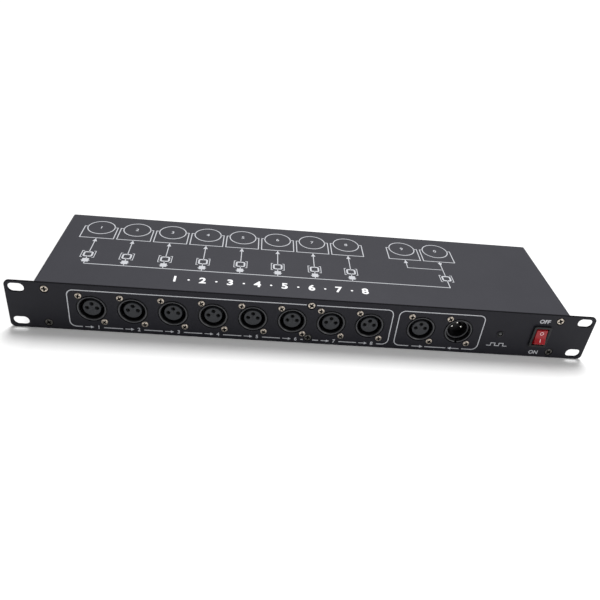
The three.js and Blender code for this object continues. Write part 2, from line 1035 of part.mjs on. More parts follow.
// Main board: the plate with its studs' holes, a driver chip behind each socket and the rectifier
const boardLeft = boardSideInset - caseWidth / 2;
const boardRight = lampX + boardLampMargin;
const standoffPlaces = [boardLeft + standoffInset, boardRight - standoffInset].flatMap((x) =>
  [tailBack + standoffInset, boardBack - standoffInset].map((y) => [x, y]),
);
const smallPartsY = boardBack - smallPartsSetback;

function mainBoard() {
  const middleX = (boardLeft + boardRight) / 2;
  const middleY = (boardFront + boardBack) / 2;
  const plate = upward(
    roundedRectangle(
      middleX,
      middleY,
      boardRight - boardLeft,
      boardBack - boardFront,
      boardCornerRadius,
    ),
    boardBottom,
    boardTop,
    standoffPlaces.map(([x, y]) => circle(x, y, standoffStudRadius + fitGap, smallFacets)),
  );
  const chipY = boardFront + chipSetback;
  const chips = socketCentres.map((x) =>
    block(
      x - chipWidth / 2,
      x + chipWidth / 2,
      chipY - chipDepth / 2,
      chipY + chipDepth / 2,
      boardTop,
      boardTop + chipHeight,
    ),
  );
  const bridgeX = smallPartsX - smallPartsPitch;
  const bridge = block(
    bridgeX - bridgeWidth / 2,
    bridgeX + bridgeWidth / 2,
    smallPartsY - bridgeDepth / 2,
    smallPartsY + bridgeDepth / 2,
    boardTop,
    boardTop + bridgeHeight,
  );
  return joined([plate, ...chips, bridge]);
}

// Six-sided standoff whose stud passes through the board
function standoff() {
  const across = standoffWidth / 2 / Math.cos(Math.PI / standoffSides);
  return turnedUpward(
    [
      [0, sheetThickness],
      [across, sheetThickness],
      [across, boardBottom],
      [0, boardBottom],
    ],
    standoffSides,
  ).add(
    turnedUpward(
      [
        [0, sheetThickness],
        [standoffStudRadius, sheetThickness],
        [standoffStudRadius, boardTop + standoffStudReach],
        [0, boardTop + standoffStudReach],
      ],
      smallFacets,
    ),
  );
}

// Transformer core: laminations with two windows, on a strap whose feet are screwed down
function transformerCore() {
  const bottom = sheetThickness + strapThickness;
  const window = (coreWidth - coreTongue) / 2 - coreLimb;
  const middle = coreTongue / 2 + window / 2;
  const windows = [-1, 1].map((side) =>
    rectangle(
      side * middle - window / 2,
      bottom + coreYoke,
      side * middle + window / 2,
      bottom + coreHeight - coreYoke,
    ),
  );
  const core = alongY(
    rectangle(-coreWidth / 2, bottom, coreWidth / 2, bottom + coreHeight),
    -coreStack / 2,
    coreStack / 2,
    windows,
  );
  const foot = coreWidth / 2 + strapFoot;
  const strap = block(-foot, foot, -coreStack / 2, coreStack / 2, sheetThickness, bottom);
  const heads = [-1, 1].map((side) =>
    turnedUpward(
      [
        [0, sheetThickness],
        [strapScrewRadius, sheetThickness],
        [strapScrewRadius, bottom + strapScrewHeight],
        [0, bottom + strapScrewHeight],
      ],
      screwFacets,
    ).translate([side * (foot - strapFoot / 2), 0, 0]),
  );
  return joined([core, strap, ...heads]);
}

// Coil on its bobbin, round the core's middle limb
function transformerCoil() {
  const bottom = sheetThickness + strapThickness + coreYoke + fitGap;
  const top = bottom + coreHeight - 2 * coreYoke - 2 * fitGap;
  const limbHalf = coreTongue / 2 + fitGap;
  const stackHalf = coreStack / 2 + fitGap;
  return upward(
    roundedRectangle(0, 0, coilWidth, coilDepth, coilCornerRadius),
    bottom,
    top,
    [rectangle(-limbHalf, -stackHalf, limbHalf, stackHalf)],
  );
}

// Finned heat sink, and the regulator that leans its tab on it
function heatSink() {
  const spacing = (sinkWidth - finThickness) / (finCount - 1);
  const spine = block(
    -sinkWidth / 2,
    sinkWidth / 2,
    0,
    sinkWall,
    boardTop,
    boardTop + sinkHeight,
  );
  const fins = Array.from({ length: finCount }, (_, i) => {
    const left = i * spacing - sinkWidth / 2;
    return block(left, left + finThickness, 0, sinkDepth, boardTop, boardTop + sinkHeight);
  });
  return joined([spine, ...fins]);
}

function regulator() {
  const back = -fitGap;
  const legTop = boardTop + regulatorLegHeight;
  const top = legTop + regulatorHeight;
  const body = block(
    -regulatorWidth / 2,
    regulatorWidth / 2,
    back - regulatorThickness,
    back,
    legTop,
    top - regulatorTabHeight,
  );
  const tab = block(
    -regulatorWidth / 2,
    regulatorWidth / 2,
    back - regulatorTabThickness,
    back,
    legTop,
    top,
  );
  const legY = back - regulatorThickness / 2;
  const legs = [-1, 0, 1].map((place) =>
    block(
      place * regulatorLegSpacing - regulatorLegWidth / 2,
      place * regulatorLegSpacing + regulatorLegWidth / 2,
      legY - regulatorLegWidth / 2,
      legY + regulatorLegWidth / 2,
      boardTop,
      legTop,
    ),
  );
  return joined([body, tab, ...legs]);
}

function capacitor(radius, height) {
  return turnedUpward(
    [
      [0, boardTop],
      [radius, boardTop],
      [radius, boardTop + height - capacitorEdge],
      [radius - capacitorEdge, boardTop + height],
      [0, boardTop + height],
    ],
    screwFacets,
  );
}

// Materials
const material = (color, roughness, metalness) =>
  new THREE.MeshStandardMaterial({ color, roughness, metalness });

const panelPaint = material(0x26272b, 0.55, 0.3);
const coverPaint = material(0x38393f, 0.5, 0.3);
const zincSteel = material(0x9a9c9e, 0.45, 0.9);
const housingPlastic = material(0x1b1b1d, 0.5, 0);
const insertPlastic = material(0x26272a, 0.6, 0);
const contactSilver = material(0xd9d9d6, 0.25, 1);
const screwSteel = material(0x8d8b85, 0.35, 1);
const blackPlastic = material(0x202124, 0.45, 0);
const redPlastic = material(0xb3151c, 0.3, 0);
const lensPlastic = material(0x6f7276, 0.3, 0);
const boardGreen = material(0x1f5a35, 0.5, 0);
const coreSteel = material(0x55585c, 0.5, 0.8);
const coilWrap = material(0xb98a2e, 0.6, 0);
const aluminium = material(0xb4b7ba, 0.4, 1);
const brass = material(0xb08d4a, 0.35, 1);
const canSleeve = material(0x22304a, 0.4, 0);
const fuseGlass = material(0xcfd6d8, 0.15, 0.2);

// The unit
const unit = new THREE.Group();

function place(name, geometry, finish, x = 0, y = 0, z = 0, parent = unit) {
  const mesh = new THREE.Mesh(geometry, finish);
  mesh.name = name;
  mesh.position.set(x, y, z);
  parent.add(mesh);
  return mesh;
}

place("front_panel", geometryOf(frontPanel()), panelPaint);
place("chassis_tray", geometryOf(chassisTray()), zincSteel);
place("top_cover", geometryOf(topCover()), coverPaint);

const socketGeometry = geometryOf(femaleSocket());
const insertGeometry = geometryOf(femaleInsert());
const femalePlaces = [
  ...outputCentres.map((x, i) => [`output_${i + 1}`, x]),
  ["through", throughX],
];
for (const [name, x] of femalePlaces) {
  place(`${name}_socket`, socketGeometry, housingPlastic, x, 0, rowHeight);
  place(`${name}_insert`, insertGeometry, insertPlastic, x, 0, rowHeight);
}

place("input_socket", geometryOf(inputSocket()), housingPlastic, inputX, 0, rowHeight);
place("input_insert", geometryOf(inputInsert()), insertPlastic, inputX, 0, rowHeight);
for (const [name, x, z] of contactPlaces) {
  place(`input_pin_${name}`, geometryOf(inputPin(x, z)), contactSilver, inputX, 0, rowHeight);
}

const panelScrew = geometryOf(countersunkScrew(wallBack + panelScrewGrip));
panelScrewPlaces.forEach(([x, z], i) => {
  place(`panel_screw_${i + 1}`, panelScrew, screwSteel, x, 0, z);
});

const coverScrew = geometryOf(panHeadScrew(2 * sheetThickness + coverScrewGrip));
[-1, 1].forEach((side, i) => {
  coverScrewDepths().forEach((y, j) => {
    const name = `cover_screw_${2 * i + j + 1}`;
    const screw = place(name, coverScrew, screwSteel, (side * caseWidth) / 2, y, coverScrewRise);
    screw.rotation.z = (side * Math.PI) / 2;
  });
});

place("lamp_bezel", geometryOf(lampBezel()), blackPlastic, lampX, 0, rowHeight);
place("signal_lamp", geometryOf(signalLamp()), lensPlastic, lampX, 0, rowHeight);

const powerSwitch = new THREE.Group();
powerSwitch.position.set(switchX, 0, rowHeight);
unit.add(powerSwitch);
place("switch_body", geometryOf(switchBody()), blackPlastic, 0, 0, 0, powerSwitch);
const rocker = place(
  "switch_rocker",
  geometryOf(switchRocker()),
  redPlastic,
  0,
  rockerPivotDepth,
  0,
  powerSwitch,
);
rocker.rotation.x = -THREE.MathUtils.degToRad(rockerTravel / 2);

const inlet = new THREE.Group();
inlet.position.set(inletX, caseBack, rowHeight);
unit.add(inlet);
place("inlet_body", geometryOf(inletBody()), blackPlastic, 0, 0, 0, inlet);
const blade = geometryOf(inletBlade());
for (const [name, x, z] of bladePlaces()) {
  place(`inlet_blade_${name}`, blade, contactSilver, x, 0, z, inlet);
}
place("fuse_drawer", geometryOf(fuseDrawer()), blackPlastic, 0, 0, -drawerDrop, inlet);
place(
  "fuse",
  geometryOf(fuseLink()),
  fuseGlass,
  0,
  troughInset - drawerDepth + fuseRadius + fitGap,
  troughFloor - drawerHeight / 2 + fuseRadius - drawerDrop,
  inlet,
);
const inletScrew = geometryOf(
  countersunkScrew(inletFlangeThickness + sheetThickness + inletScrewGrip),
);
[-1, 1].forEach((side, i) => {
  const x = (side * inletEarSpacing) / 2;
  const screw = place(`inlet_screw_${i + 1}`, inletScrew, screwSteel, x, 0, 0, inlet);
  screw.position.y = inletFlangeThickness;
  screw.rotation.z = Math.PI;
});

place("main_board", geometryOf(mainBoard()), boardGreen);
const standoffGeometry = geometryOf(standoff());
standoffPlaces.forEach(([x, y], i) => {
  place(`standoff_${i + 1}`, standoffGeometry, brass, x, y, 0);
});

const transformerY = caseBack - sheetThickness - transformerRearGap - coilDepth / 2;
place("transformer_core", geometryOf(transformerCore()), coreSteel, transformerX, transformerY, 0);
place("transformer_coil", geometryOf(transformerCoil()), coilWrap, transformerX, transformerY, 0);
place("heat_sink", geometryOf(heatSink()), aluminium, smallPartsX, smallPartsY, 0);
place("regulator", geometryOf(regulator()), blackPlastic, smallPartsX, smallPartsY, 0);
place(
  "capacitor_large",
  geometryOf(capacitor(largeCapacitorRadius, largeCapacitorHeight)),
  canSleeve,
  smallPartsX + smallPartsPitch,
  smallPartsY,
  0,
);
place(
  "capacitor_small",
  geometryOf(capacitor(smallCapacitorRadius, smallCapacitorHeight)),
  canSleeve,
  smallPartsX + 2 * smallPartsPitch,
  smallPartsY,
  0,
);

// Centre the unit's depth on the origin
const bounds = new THREE.Box3().setFromObject(unit, true);
unit.position.y = -(bounds.min.y + bounds.max.y) / 2;
const part = new THREE.Group();
part.add(unit);

export default part;
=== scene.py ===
import math

import bmesh
import bpy
from mathutils import Matrix, Vector


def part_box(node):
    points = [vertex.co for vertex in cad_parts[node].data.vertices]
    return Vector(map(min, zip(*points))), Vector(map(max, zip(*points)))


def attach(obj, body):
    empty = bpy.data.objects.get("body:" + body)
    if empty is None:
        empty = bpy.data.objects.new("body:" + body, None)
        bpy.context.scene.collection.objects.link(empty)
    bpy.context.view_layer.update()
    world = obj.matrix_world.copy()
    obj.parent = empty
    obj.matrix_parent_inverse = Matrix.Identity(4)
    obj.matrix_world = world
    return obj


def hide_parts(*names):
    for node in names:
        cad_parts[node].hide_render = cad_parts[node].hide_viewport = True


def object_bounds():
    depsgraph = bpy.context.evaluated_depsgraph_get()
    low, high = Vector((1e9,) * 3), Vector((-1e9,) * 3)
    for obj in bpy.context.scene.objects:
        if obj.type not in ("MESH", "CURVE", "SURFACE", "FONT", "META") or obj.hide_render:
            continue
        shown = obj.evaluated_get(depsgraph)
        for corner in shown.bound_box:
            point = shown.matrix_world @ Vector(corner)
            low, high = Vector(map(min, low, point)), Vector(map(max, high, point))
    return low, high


# Rack-mount signal splitter, one unit high, dressed piece by piece over its CAD frame.
# Lengths are in millimetres and become metres where a piece is placed. X runs along the front
# panel, "depth" is counted back from the panel's front face, and Z is up from the underside.
MM = 0.001
QUARTER = math.pi / 2
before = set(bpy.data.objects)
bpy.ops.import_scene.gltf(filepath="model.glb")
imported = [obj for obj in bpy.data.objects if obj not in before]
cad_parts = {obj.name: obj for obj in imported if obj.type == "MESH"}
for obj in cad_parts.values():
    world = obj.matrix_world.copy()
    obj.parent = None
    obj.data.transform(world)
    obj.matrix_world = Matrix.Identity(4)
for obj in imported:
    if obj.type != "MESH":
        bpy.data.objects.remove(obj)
cad_low, cad_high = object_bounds()
panel_low, panel_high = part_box("front_panel")
cover_low, cover_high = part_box("top_cover")
FRONT = panel_low.y / MM
ROW = (panel_low.z + panel_high.z) / 2 / MM
PANEL_WIDTH = round((panel_high.x - panel_low.x) / MM, 3)
PANEL_HEIGHT = round((panel_high.z - panel_low.z) / MM, 3)
PANEL_THICKNESS = (panel_high.y - panel_low.y) / MM
CASE_HALF = cover_high.x / MM
COVER_FOOT = cover_low.z / MM
TOP = cover_high.z / MM
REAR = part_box("chassis_tray")[1].y / MM - FRONT


def centre(node):
    """Middle of a node's box: x, depth and z in millimetres."""
    low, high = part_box(node)
    middle = (low + high) / 2 / MM
    return middle.x, middle.y - FRONT, middle.z


OUTPUTS = [f"output_{i + 1}" for i in range(8)]
FEMALE = [*OUTPUTS, "through"]
SOCKET_X = {name: centre(f"{name}_socket")[0] for name in [*FEMALE, "input"]}
LAMP_X = centre("lamp_bezel")[0]
SWITCH_X = centre("switch_body")[0]
INLET_X = centre("inlet_body")[0]

# Printed ink: its thickness, a bolder one, and how far it stands off the panel's face or sinks
# into the cover
INK, BOLD_INK, INK_OFFSET = 0.06, 0.09, 0.01
# Plate of the mains inlet, on which its two screws sit
INLET_FLANGE = 3.0
# Bevels of small edges
FINE, SMALL, SOFT = 0.1, 0.2, 0.3
# Names given three numbers and used with a star are rectangles: width, height, corner radius

# Local axes of flat shapes: drawn in (right, up) and built out along the normal
FACING_FRONT = Matrix(((1, 0, 0, 0), (0, 0, -1, 0), (0, 1, 0, 0), (0, 0, 0, 1)))
FACING_BACK = Matrix(((-1, 0, 0, 0), (0, 0, 1, 0), (0, 1, 0, 0), (0, 0, 0, 1)))
FACING_UP = Matrix.Identity(4)
FACING_RIGHT = Matrix(((0, 0, 1, 0), (1, 0, 0, 0), (0, 1, 0, 0), (0, 0, 0, 1)))
FACING_LEFT = Matrix(((0, 0, -1, 0), (-1, 0, 0, 0), (0, 1, 0, 0), (0, 0, 0, 1)))


def spot(x, depth, z, facing=FACING_FRONT):
    """Matrix that takes a flat or turned shape, in millimetres, to its place in the frame."""
    return Matrix.Translation((x, depth + FRONT, z)) @ facing


# Materials
# numbers of a mix node's sockets, then the pale wear along edges; widths in metres
MIX_A, MIX_B, MIX_RESULT = 6, 7, 2
WEAR_WIDTH, WEAR_START, WEAR_END, WEAR_SHARE = 0.0005, 0.985, 0.80, 0.5
RELIEF = 0.0004


def new_node(tree, kind, **values):
    """New shader node; each value goes to the property or socket of its name."""
    made = tree.nodes.new(kind)
    for key, value in values.items():
        if hasattr(made, key):
            setattr(made, key, value)
        else:
            made.inputs[key].default_value = value
    return made


def blend(tree, share, first, second):
    """Colour between two; the first is a colour or comes from another node."""
    mix = new_node(tree, "ShaderNodeMix", data_type="RGBA")
    tree.links.new(share, mix.inputs[0])
    if isinstance(first, tuple):
        mix.inputs[MIX_A].default_value = (*first, 1)
    else:
        tree.links.new(first, mix.inputs[MIX_A])
    mix.inputs[MIX_B].default_value = (*second, 1)
    return mix.outputs[MIX_RESULT]


def edge_wear(tree):
    """Share of worn paint, which rises along sharp edges."""
    edge = new_node(tree, "ShaderNodeBevel", samples=4, Radius=WEAR_WIDTH)
    here = new_node(tree, "ShaderNodeNewGeometry")
    meet = new_node(tree, "ShaderNodeVectorMath", operation="DOT_PRODUCT")
    tree.links.new(edge.outputs["Normal"], meet.inputs[0])
    tree.links.new(here.outputs["Normal"], meet.inputs[1])
    spread = new_node(tree, "ShaderNodeMapRange")
    spread.inputs["From Min"].default_value = WEAR_START
    spread.inputs["From Max"].default_value = WEAR_END
    spread.inputs["To Max"].default_value = WEAR_SHARE
    tree.links.new(meet.outputs["Value"], spread.inputs["Value"])
    return spread.outputs["Result"]


def material(name, colour, other, *, rough, mottle=300, grain=3500, bump=0.05, metallic=0.0,
             wear=None, coat=0.0, transmission=0.0, ior=1.5, stretch=(1, 1, 1), specular=0.5):
    """A surface whose colour drifts between two tones, with fine grain in gloss and bump."""
    made = bpy.data.materials.new(name)
    made.use_nodes = True
    tree = made.node_tree
    link = tree.links.new
    shader = tree.nodes["Principled BSDF"]
    shader.inputs["Metallic"].default_value = metallic
    shader.inputs["Coat Weight"].default_value = coat
    shader.inputs["Transmission Weight"].default_value = transmission
    shader.inputs["IOR"].default_value = ior
    shader.inputs["Specular IOR Level"].default_value = specular
    place = new_node(tree, "ShaderNodeTexCoord")
    scale = new_node(tree, "ShaderNodeMapping", Scale=stretch)
    link(place.outputs["Object"], scale.inputs["Vector"])
    drift = new_node(tree, "ShaderNodeTexNoise", Scale=mottle, Detail=4.0, Roughness=0.6)
    fine = new_node(tree, "ShaderNodeTexNoise", Scale=grain, Detail=3.0, Roughness=0.55)
    for texture in (drift, fine):
        link(scale.outputs["Vector"], texture.inputs["Vector"])
    tone = blend(tree, drift.outputs["Fac"], colour, other)
    if wear:
        tone = blend(tree, edge_wear(tree), tone, wear)
    link(tone, shader.inputs["Base Color"])
    gloss = new_node(tree, "ShaderNodeMapRange")
    gloss.inputs["To Min"].default_value, gloss.inputs["To Max"].default_value = rough
    link(fine.outputs["Fac"], gloss.inputs["Value"])
    link(gloss.outputs["Result"], shader.inputs["Roughness"])
    relief = new_node(tree, "ShaderNodeBump", Strength=bump, Distance=RELIEF)
    link(fine.outputs["Fac"], relief.inputs["Height"])
    link(relief.outputs["Normal"], shader.inputs["Normal"])
    return made


PANEL_COAT = material("panel_coat", (0.0085, 0.0085, 0.0125), (0.0125, 0.0125, 0.0175), mottle=45,
                      grain=1700, bump=0.22, rough=(0.42, 0.56), specular=0.18,
                      wear=(0.05, 0.05, 0.055))
# the panel's upward-facing faces carry painted shade, darker than its face
PANEL_TOP_SHADE = material("panel_top_shade", (0.0030, 0.0030, 0.0044), (0.0048, 0.0048, 0.0064), mottle=45,
                      grain=1700, bump=0.15, rough=(0.55, 0.7), specular=0.04)
COVER_COAT = material("cover_coat", (0.0245, 0.0245, 0.0318), (0.0325, 0.0325, 0.0412), mottle=30,
                      grain=1500, bump=0.2, rough=(0.38, 0.50), specular=0.2,
                      wear=(0.09, 0.09, 0.10))
TRAY_COAT = material("tray_coat", (0.014, 0.014, 0.018), (0.021, 0.021, 0.026), mottle=30,
                     grain=1500, bump=0.2, rough=(0.42, 0.58), specular=0.25,
                     wear=(0.07, 0.07, 0.075))
PRINT = material("print", (0.43, 0.44, 0.47), (0.57, 0.58, 0.61), mottle=400, grain=3000,
                 rough=(0.5, 0.65))
TITLE_PRINT = material("title_print", (0.80, 0.80, 0.82), (0.90, 0.90, 0.91), mottle=400,
                       grain=3000, rough=(0.5, 0.65))
HOUSING = material("housing", (0.0035, 0.0035, 0.004), (0.006, 0.006, 0.007), rough=(0.26, 0.38),
                   specular=0.35, wear=(0.02, 0.02, 0.022))
# paler copy of the black housing: painted highlight on the crest of a socket's lip and on the
# input's inner wall
RIM_SHEEN = material("rim", (0.052, 0.053, 0.057), (0.070, 0.071, 0.077), rough=(0.30, 0.42),
               specular=0.4)
INSERT = material("insert", (0.022, 0.024, 0.028), (0.032, 0.034, 0.038), bump=0.08,
                  rough=(0.42, 0.55), specular=0.3)
CONTACT = material("contact", (0.74, 0.73, 0.70), (0.84, 0.83, 0.80), mottle=500, grain=4000,
                   bump=0.02, rough=(0.12, 0.22), metallic=1.0)
BLADE = material("blade", (0.40, 0.39, 0.36), (0.52, 0.51, 0.48), mottle=500, grain=4000,
                 bump=0.03, rough=(0.28, 0.40), metallic=1.0)
# shaded copy of the contact metal: painted shade for pin shafts and for springs deep in the
# sockets
CONTACT_SHADE = material("contact_shade", (0.10, 0.095, 0.085), (0.16, 0.15, 0.13), mottle=500,
                        grain=4000, bump=0.02, rough=(0.30, 0.42), metallic=1.0)
SCREW = material("screw", (0.43, 0.38, 0.325), (0.57, 0.51, 0.44), mottle=700, grain=5000,
                 bump=0.06, rough=(0.24, 0.38), metallic=1.0)
# shaded copy of the screw finish: painted shade for screws that sit in shade
SHADED_SCREW = material("shaded_screw", (0.110, 0.108, 0.100), (0.18, 0.175, 0.165), mottle=700,
                      grain=5000, bump=0.06, rough=(0.26, 0.40), metallic=1.0)
# painted shade: near black for the hollows of cross recesses and the seat rings of sunk screws
RECESS_SHADE = material("recess", (0.004, 0.004, 0.004), (0.009, 0.008, 0.008), mottle=700, grain=5000,
                  bump=0.06, rough=(0.5, 0.65), specular=0.1)
SWITCH = material("switch_black", (0.008, 0.008, 0.009), (0.013, 0.013, 0.014), bump=0.03,
                  rough=(0.26, 0.38), specular=0.25)
ROCKER = material("rocker_red", (0.24, 0.002, 0.006), (0.34, 0.004, 0.010), mottle=160, bump=0.02,
                  rough=(0.16, 0.26), specular=0.4)
MARK = material("mark", (0.70, 0.45, 0.46), (0.82, 0.60, 0.60), mottle=500, grain=3000,
                rough=(0.45, 0.6))
LENS = material("lens", (0.05, 0.052, 0.055), (0.09, 0.092, 0.095), mottle=700, bump=0.02,
                rough=(0.18, 0.28), coat=0.2)
INLET = material("inlet_black", (0.012, 0.012, 0.013), (0.019, 0.019, 0.021), mottle=200,
                 grain=2800, bump=0.12, rough=(0.42, 0.55))
FLOOR = material("floor", (0.90, 0.90, 0.90), (0.93, 0.93, 0.93), mottle=4, grain=40, bump=0.0,
                 rough=(0.6, 0.7), specular=0.1)
BOARD = material("board", (0.010, 0.085, 0.030), (0.016, 0.12, 0.045), mottle=180, grain=2500,
                 rough=(0.32, 0.45))
BRASS = material("brass", (0.62, 0.44, 0.20), (0.75, 0.56, 0.28), mottle=400, bump=0.04,
                 rough=(0.22, 0.34), metallic=1.0)
LAMINATE = material("laminate", (0.09, 0.092, 0.10), (0.15, 0.152, 0.16), mottle=40, grain=900,
                    bump=0.3, rough=(0.45, 0.6), metallic=0.6, stretch=(1, 12, 1))
TAPE = material("tape", (0.42, 0.23, 0.03), (0.55, 0.33, 0.06), mottle=120, grain=1800, bump=0.08,
                rough=(0.30, 0.42))
ALUMINIUM = material("aluminium", (0.55, 0.56, 0.58), (0.66, 0.67, 0.68), mottle=60, grain=1500,
                     bump=0.08, rough=(0.28, 0.40), metallic=1.0, stretch=(1, 1, 0.1))
SLEEVE = material("sleeve", (0.012, 0.026, 0.070), (0.02, 0.04, 0.10), mottle=200, grain=3000,
                  bump=0.03, rough=(0.25, 0.35))
FUSE_GLASS = material("fuse_glass", (0.80, 0.84, 0.85), (0.86, 0.90, 0.90), mottle=200,
                      grain=3000, bump=0.01, rough=(0.05, 0.10), transmission=0.85, ior=1.47)

# Meshes: the angle of a sharp edge in degrees, and how near counts as the same
SHARP_ANGLE = 35
SQUARE = 0.99999
ON_AXIS = 1e-6
MERGE, LEVEL, SLIVER = 1e-4, 1e-5, 2e-3
MITRE_LIMIT = 0.3


def in_scene(name, data):
    """New object in the scene."""
    made = bpy.data.objects.new(name, data)
    bpy.context.collection.objects.link(made)
    return made


def evaluated(made):
    """Mesh of an object as its curves or modifiers make it."""
    bpy.context.view_layer.update()
    seen = made.evaluated_get(bpy.context.evaluated_depsgraph_get())
    return bpy.data.meshes.new_from_object(seen)


def finish_mesh(mesh):
    """Smooth shading that breaks at sharp edges; faces square to an axis stay flat."""
    mesh.set_sharp_from_angle(angle=math.radians(SHARP_ANGLE))
    soft = [max(abs(c) for c in face.normal) < SQUARE for face in mesh.polygons]
    mesh.polygons.foreach_set("use_smooth", soft)
    return mesh


def face_out(form):
    """Turns every face outwards."""
    bmesh.ops.recalc_face_normals(form, faces=form.faces)
    if form.calc_volume(signed=True) < 0:
        bmesh.ops.reverse_faces(form, faces=form.faces)


def settle(form):
    """Mesh of a closed form."""
    face_out(form)
    mesh = bpy.data.meshes.new("form")
    form.to_mesh(mesh)
    form.free()
    return finish_mesh(mesh)


def turned(profile, segments=64):
    """Solid of revolution from (radius, height) points; heights run along local +Z."""
    form = bmesh.new()
    turn = [2 * math.pi * i / segments for i in range(segments)]
    rings = []
    for radius, height in profile:
        if radius < ON_AXIS:
            rings.append([form.verts.new((0, 0, height))])
            continue
        rings.append([form.verts.new((radius * math.cos(a), radius * math.sin(a), height))
                      for a in turn])
    pairs = list(zip(rings, rings[1:]))
    if len(rings[0]) > 1 and len(rings[-1]) > 1:
        pairs.append((rings[-1], rings[0]))
    for low, high in pairs:
        for i in range(segments):
            j = (i + 1) % segments
            corners = [low[i % len(low)], low[j % len(low)], high[j % len(high)],
                       high[i % len(high)]]
            unique = list(dict.fromkeys(corners))
            if len(unique) > 2:
                form.faces.new(unique)
    return settle(form)


def meshed(data):
    """Plain mesh of a curve or text, with its doubled corners merged."""
    holder = in_scene("holder", data)
    mesh = evaluated(holder)
    bpy.data.objects.remove(holder)
    form = bmesh.new()
    form.from_mesh(mesh)
    bmesh.ops.remove_doubles(form, verts=form.verts, dist=MERGE)
    # the long thin triangles of the flat ends are swapped for even ones
    flat = [edge for edge in form.edges if len(edge.link_faces) == 2 and
            all(abs(corner.co.z - edge.verts[0].co.z) < LEVEL
                for face in edge.link_faces for corner in face.verts)]
    bmesh.ops.beautify_fill(form, faces=form.faces, edges=flat, method="ANGLE")
    bmesh.ops.dissolve_degenerate(form, edges=form.edges, dist=SLIVER)
    face_out(form)
    form.to_mesh(mesh)
    form.free()
    return mesh


def plate(outlines, depth, bevel=0.0, steps=2):
    """Flat plate from closed outlines, inner ones as holes; it fills local z from -depth to 0."""
    curve = bpy.data.curves.new("plate", "CURVE")
    curve.dimensions = "2D"
    curve.fill_mode = "BOTH"
    curve.extrude = (depth - 2 * bevel) / 2
    curve.bevel_depth = bevel
    curve.bevel_resolution = steps
    curve.offset = -bevel
    for outline in outlines:
        line = curve.splines.new("POLY")
        line.points.add(len(outline) - 1)
        for point, (x, y) in zip(line.points, outline):
            point.co = (x, y, 0, 1)
        line.use_cyclic_u = True
    mesh = meshed(curve)
    mesh.transform(Matrix.Translation((0, 0, -depth / 2)))
    return finish_mesh(mesh)


def moved(mesh, x=0, y=0, z=0):
    """Copy of a mesh, shifted in its own axes."""
    copy = mesh.copy()
    copy.transform(Matrix.Translation((x, y, z)))
    return copy


def joined(*meshes):
    """One mesh of several; each keeps its material numbers."""
    form = bmesh.new()
    for mesh in meshes:
        form.from_mesh(mesh)
    made = bpy.data.meshes.new("joined")
    form.to_mesh(made)
    form.free()
    return finish_mesh(made)


def cut(mesh, *tools):
    """The mesh with tools taken away; faces that a tool leaves carry material number 1."""
    body = in_scene("body", mesh)
    for _ in range(2 - len(mesh.materials)):
        mesh.materials.append(None)
    helpers = []
    for tool in tools:
        tool.materials.clear()
        tool.materials.append(None)
        tool.materials.append(None)
        tool.polygons.foreach_set("material_index", [1] * len(tool.polygons))
        helpers.append(in_scene("tool", tool))
        step = body.modifiers.new("cut", "BOOLEAN")
        step.operation = "DIFFERENCE"
        step.solver = "MANIFOLD"
        step.object = helpers[-1]
    made = evaluated(body)
    for one in (body, *helpers):
        bpy.data.objects.remove(one)
    return finish_mesh(made)


def shade(mesh, number, chosen):
    """Gives a material number to the faces that a test picks."""
    for face in mesh.polygons:
        if chosen(face):
            face.material_index = number


def arc(x, y, radius, start, sweep, steps):
    """Points of a round stretch about a point, with both of its ends."""
    angles = [start + sweep * k / steps for k in range(steps + 1)]
    return [(x + radius * math.cos(a), y + radius * math.sin(a)) for a in angles]


def circle(x, y, radius, steps=48):
    """Round outline about a point."""
    return arc(x, y, radius, 0, 2 * math.pi, steps)[:-1]


def rounded(x, y, width, height, radius, steps=6):
    """Rectangle about a point, with round corners."""
    right, top = width / 2 - radius, height / 2 - radius
    points = []
    for i, (sx, sy) in enumerate(((1, 1), (-1, 1), (-1, -1), (1, -1))):
        points += arc(x + sx * right, y + sy * top, radius, i * QUARTER, QUARTER, steps)
    return points


def ribbon(points, width, closed=False, thick=INK):
    """Flat printed line along points, with mitred corners, from local z 0 up."""
    form = bmesh.new()
    count = len(points)
    sides = []
    for i in range(count):
        here = Vector(points[i])
        before = Vector(points[i - 1]) if closed or i else None
        after = Vector(points[(i + 1) % count]) if closed or i < count - 1 else None
        ways = [way.normalized() for way in
                ((here - before) if before else None, (after - here) if after else None) if way]
        along = sum(ways, Vector((0, 0))).normalized()
        across = Vector((-along.y, along.x))
        reach = width / 2 / max(MITRE_LIMIT, across.dot(Vector((-ways[0].y, ways[0].x))))
        sides.append((here + across * reach, here - across * reach))
    low = [[form.verts.new((*p, 0)) for p in pair] for pair in sides]
    high = [[form.verts.new((*p, thick)) for p in pair] for pair in sides]
    span = count if closed else count - 1
    for i in range(span):
        j = (i + 1) % count
        form.faces.new((high[i][0], high[i][1], high[j][1], high[j][0]))
        form.faces.new((low[i][1], low[i][0], low[j][0], low[j][1]))
        for side in (0, 1):
            form.faces.new((low[i][side], high[i][side], high[j][side], low[j][side]))
    if not closed:
        for i in (0, count - 1):
            form.faces.new((low[i][0], low[i][1], high[i][1], high[i][0]))
    return settle(form)


def solid(outline, thick=INK):
    """Filled printed shape from local z 0 up."""
    return moved(plate([outline], thick), z=thick)


def lettering(words, size, shear=0.0, weight=0.0, thick=INK):
    """Text centred on the local origin."""
    text = bpy.data.curves.new("text", "FONT")
    text.body = words
    text.size = size
    text.align_x = "CENTER"
    text.align_y = "CENTER"
    text.shear = shear
    text.offset = weight
    text.extrude = thick / 2
    text.resolution_u = 7
    return moved(meshed(text), z=thick / 2)


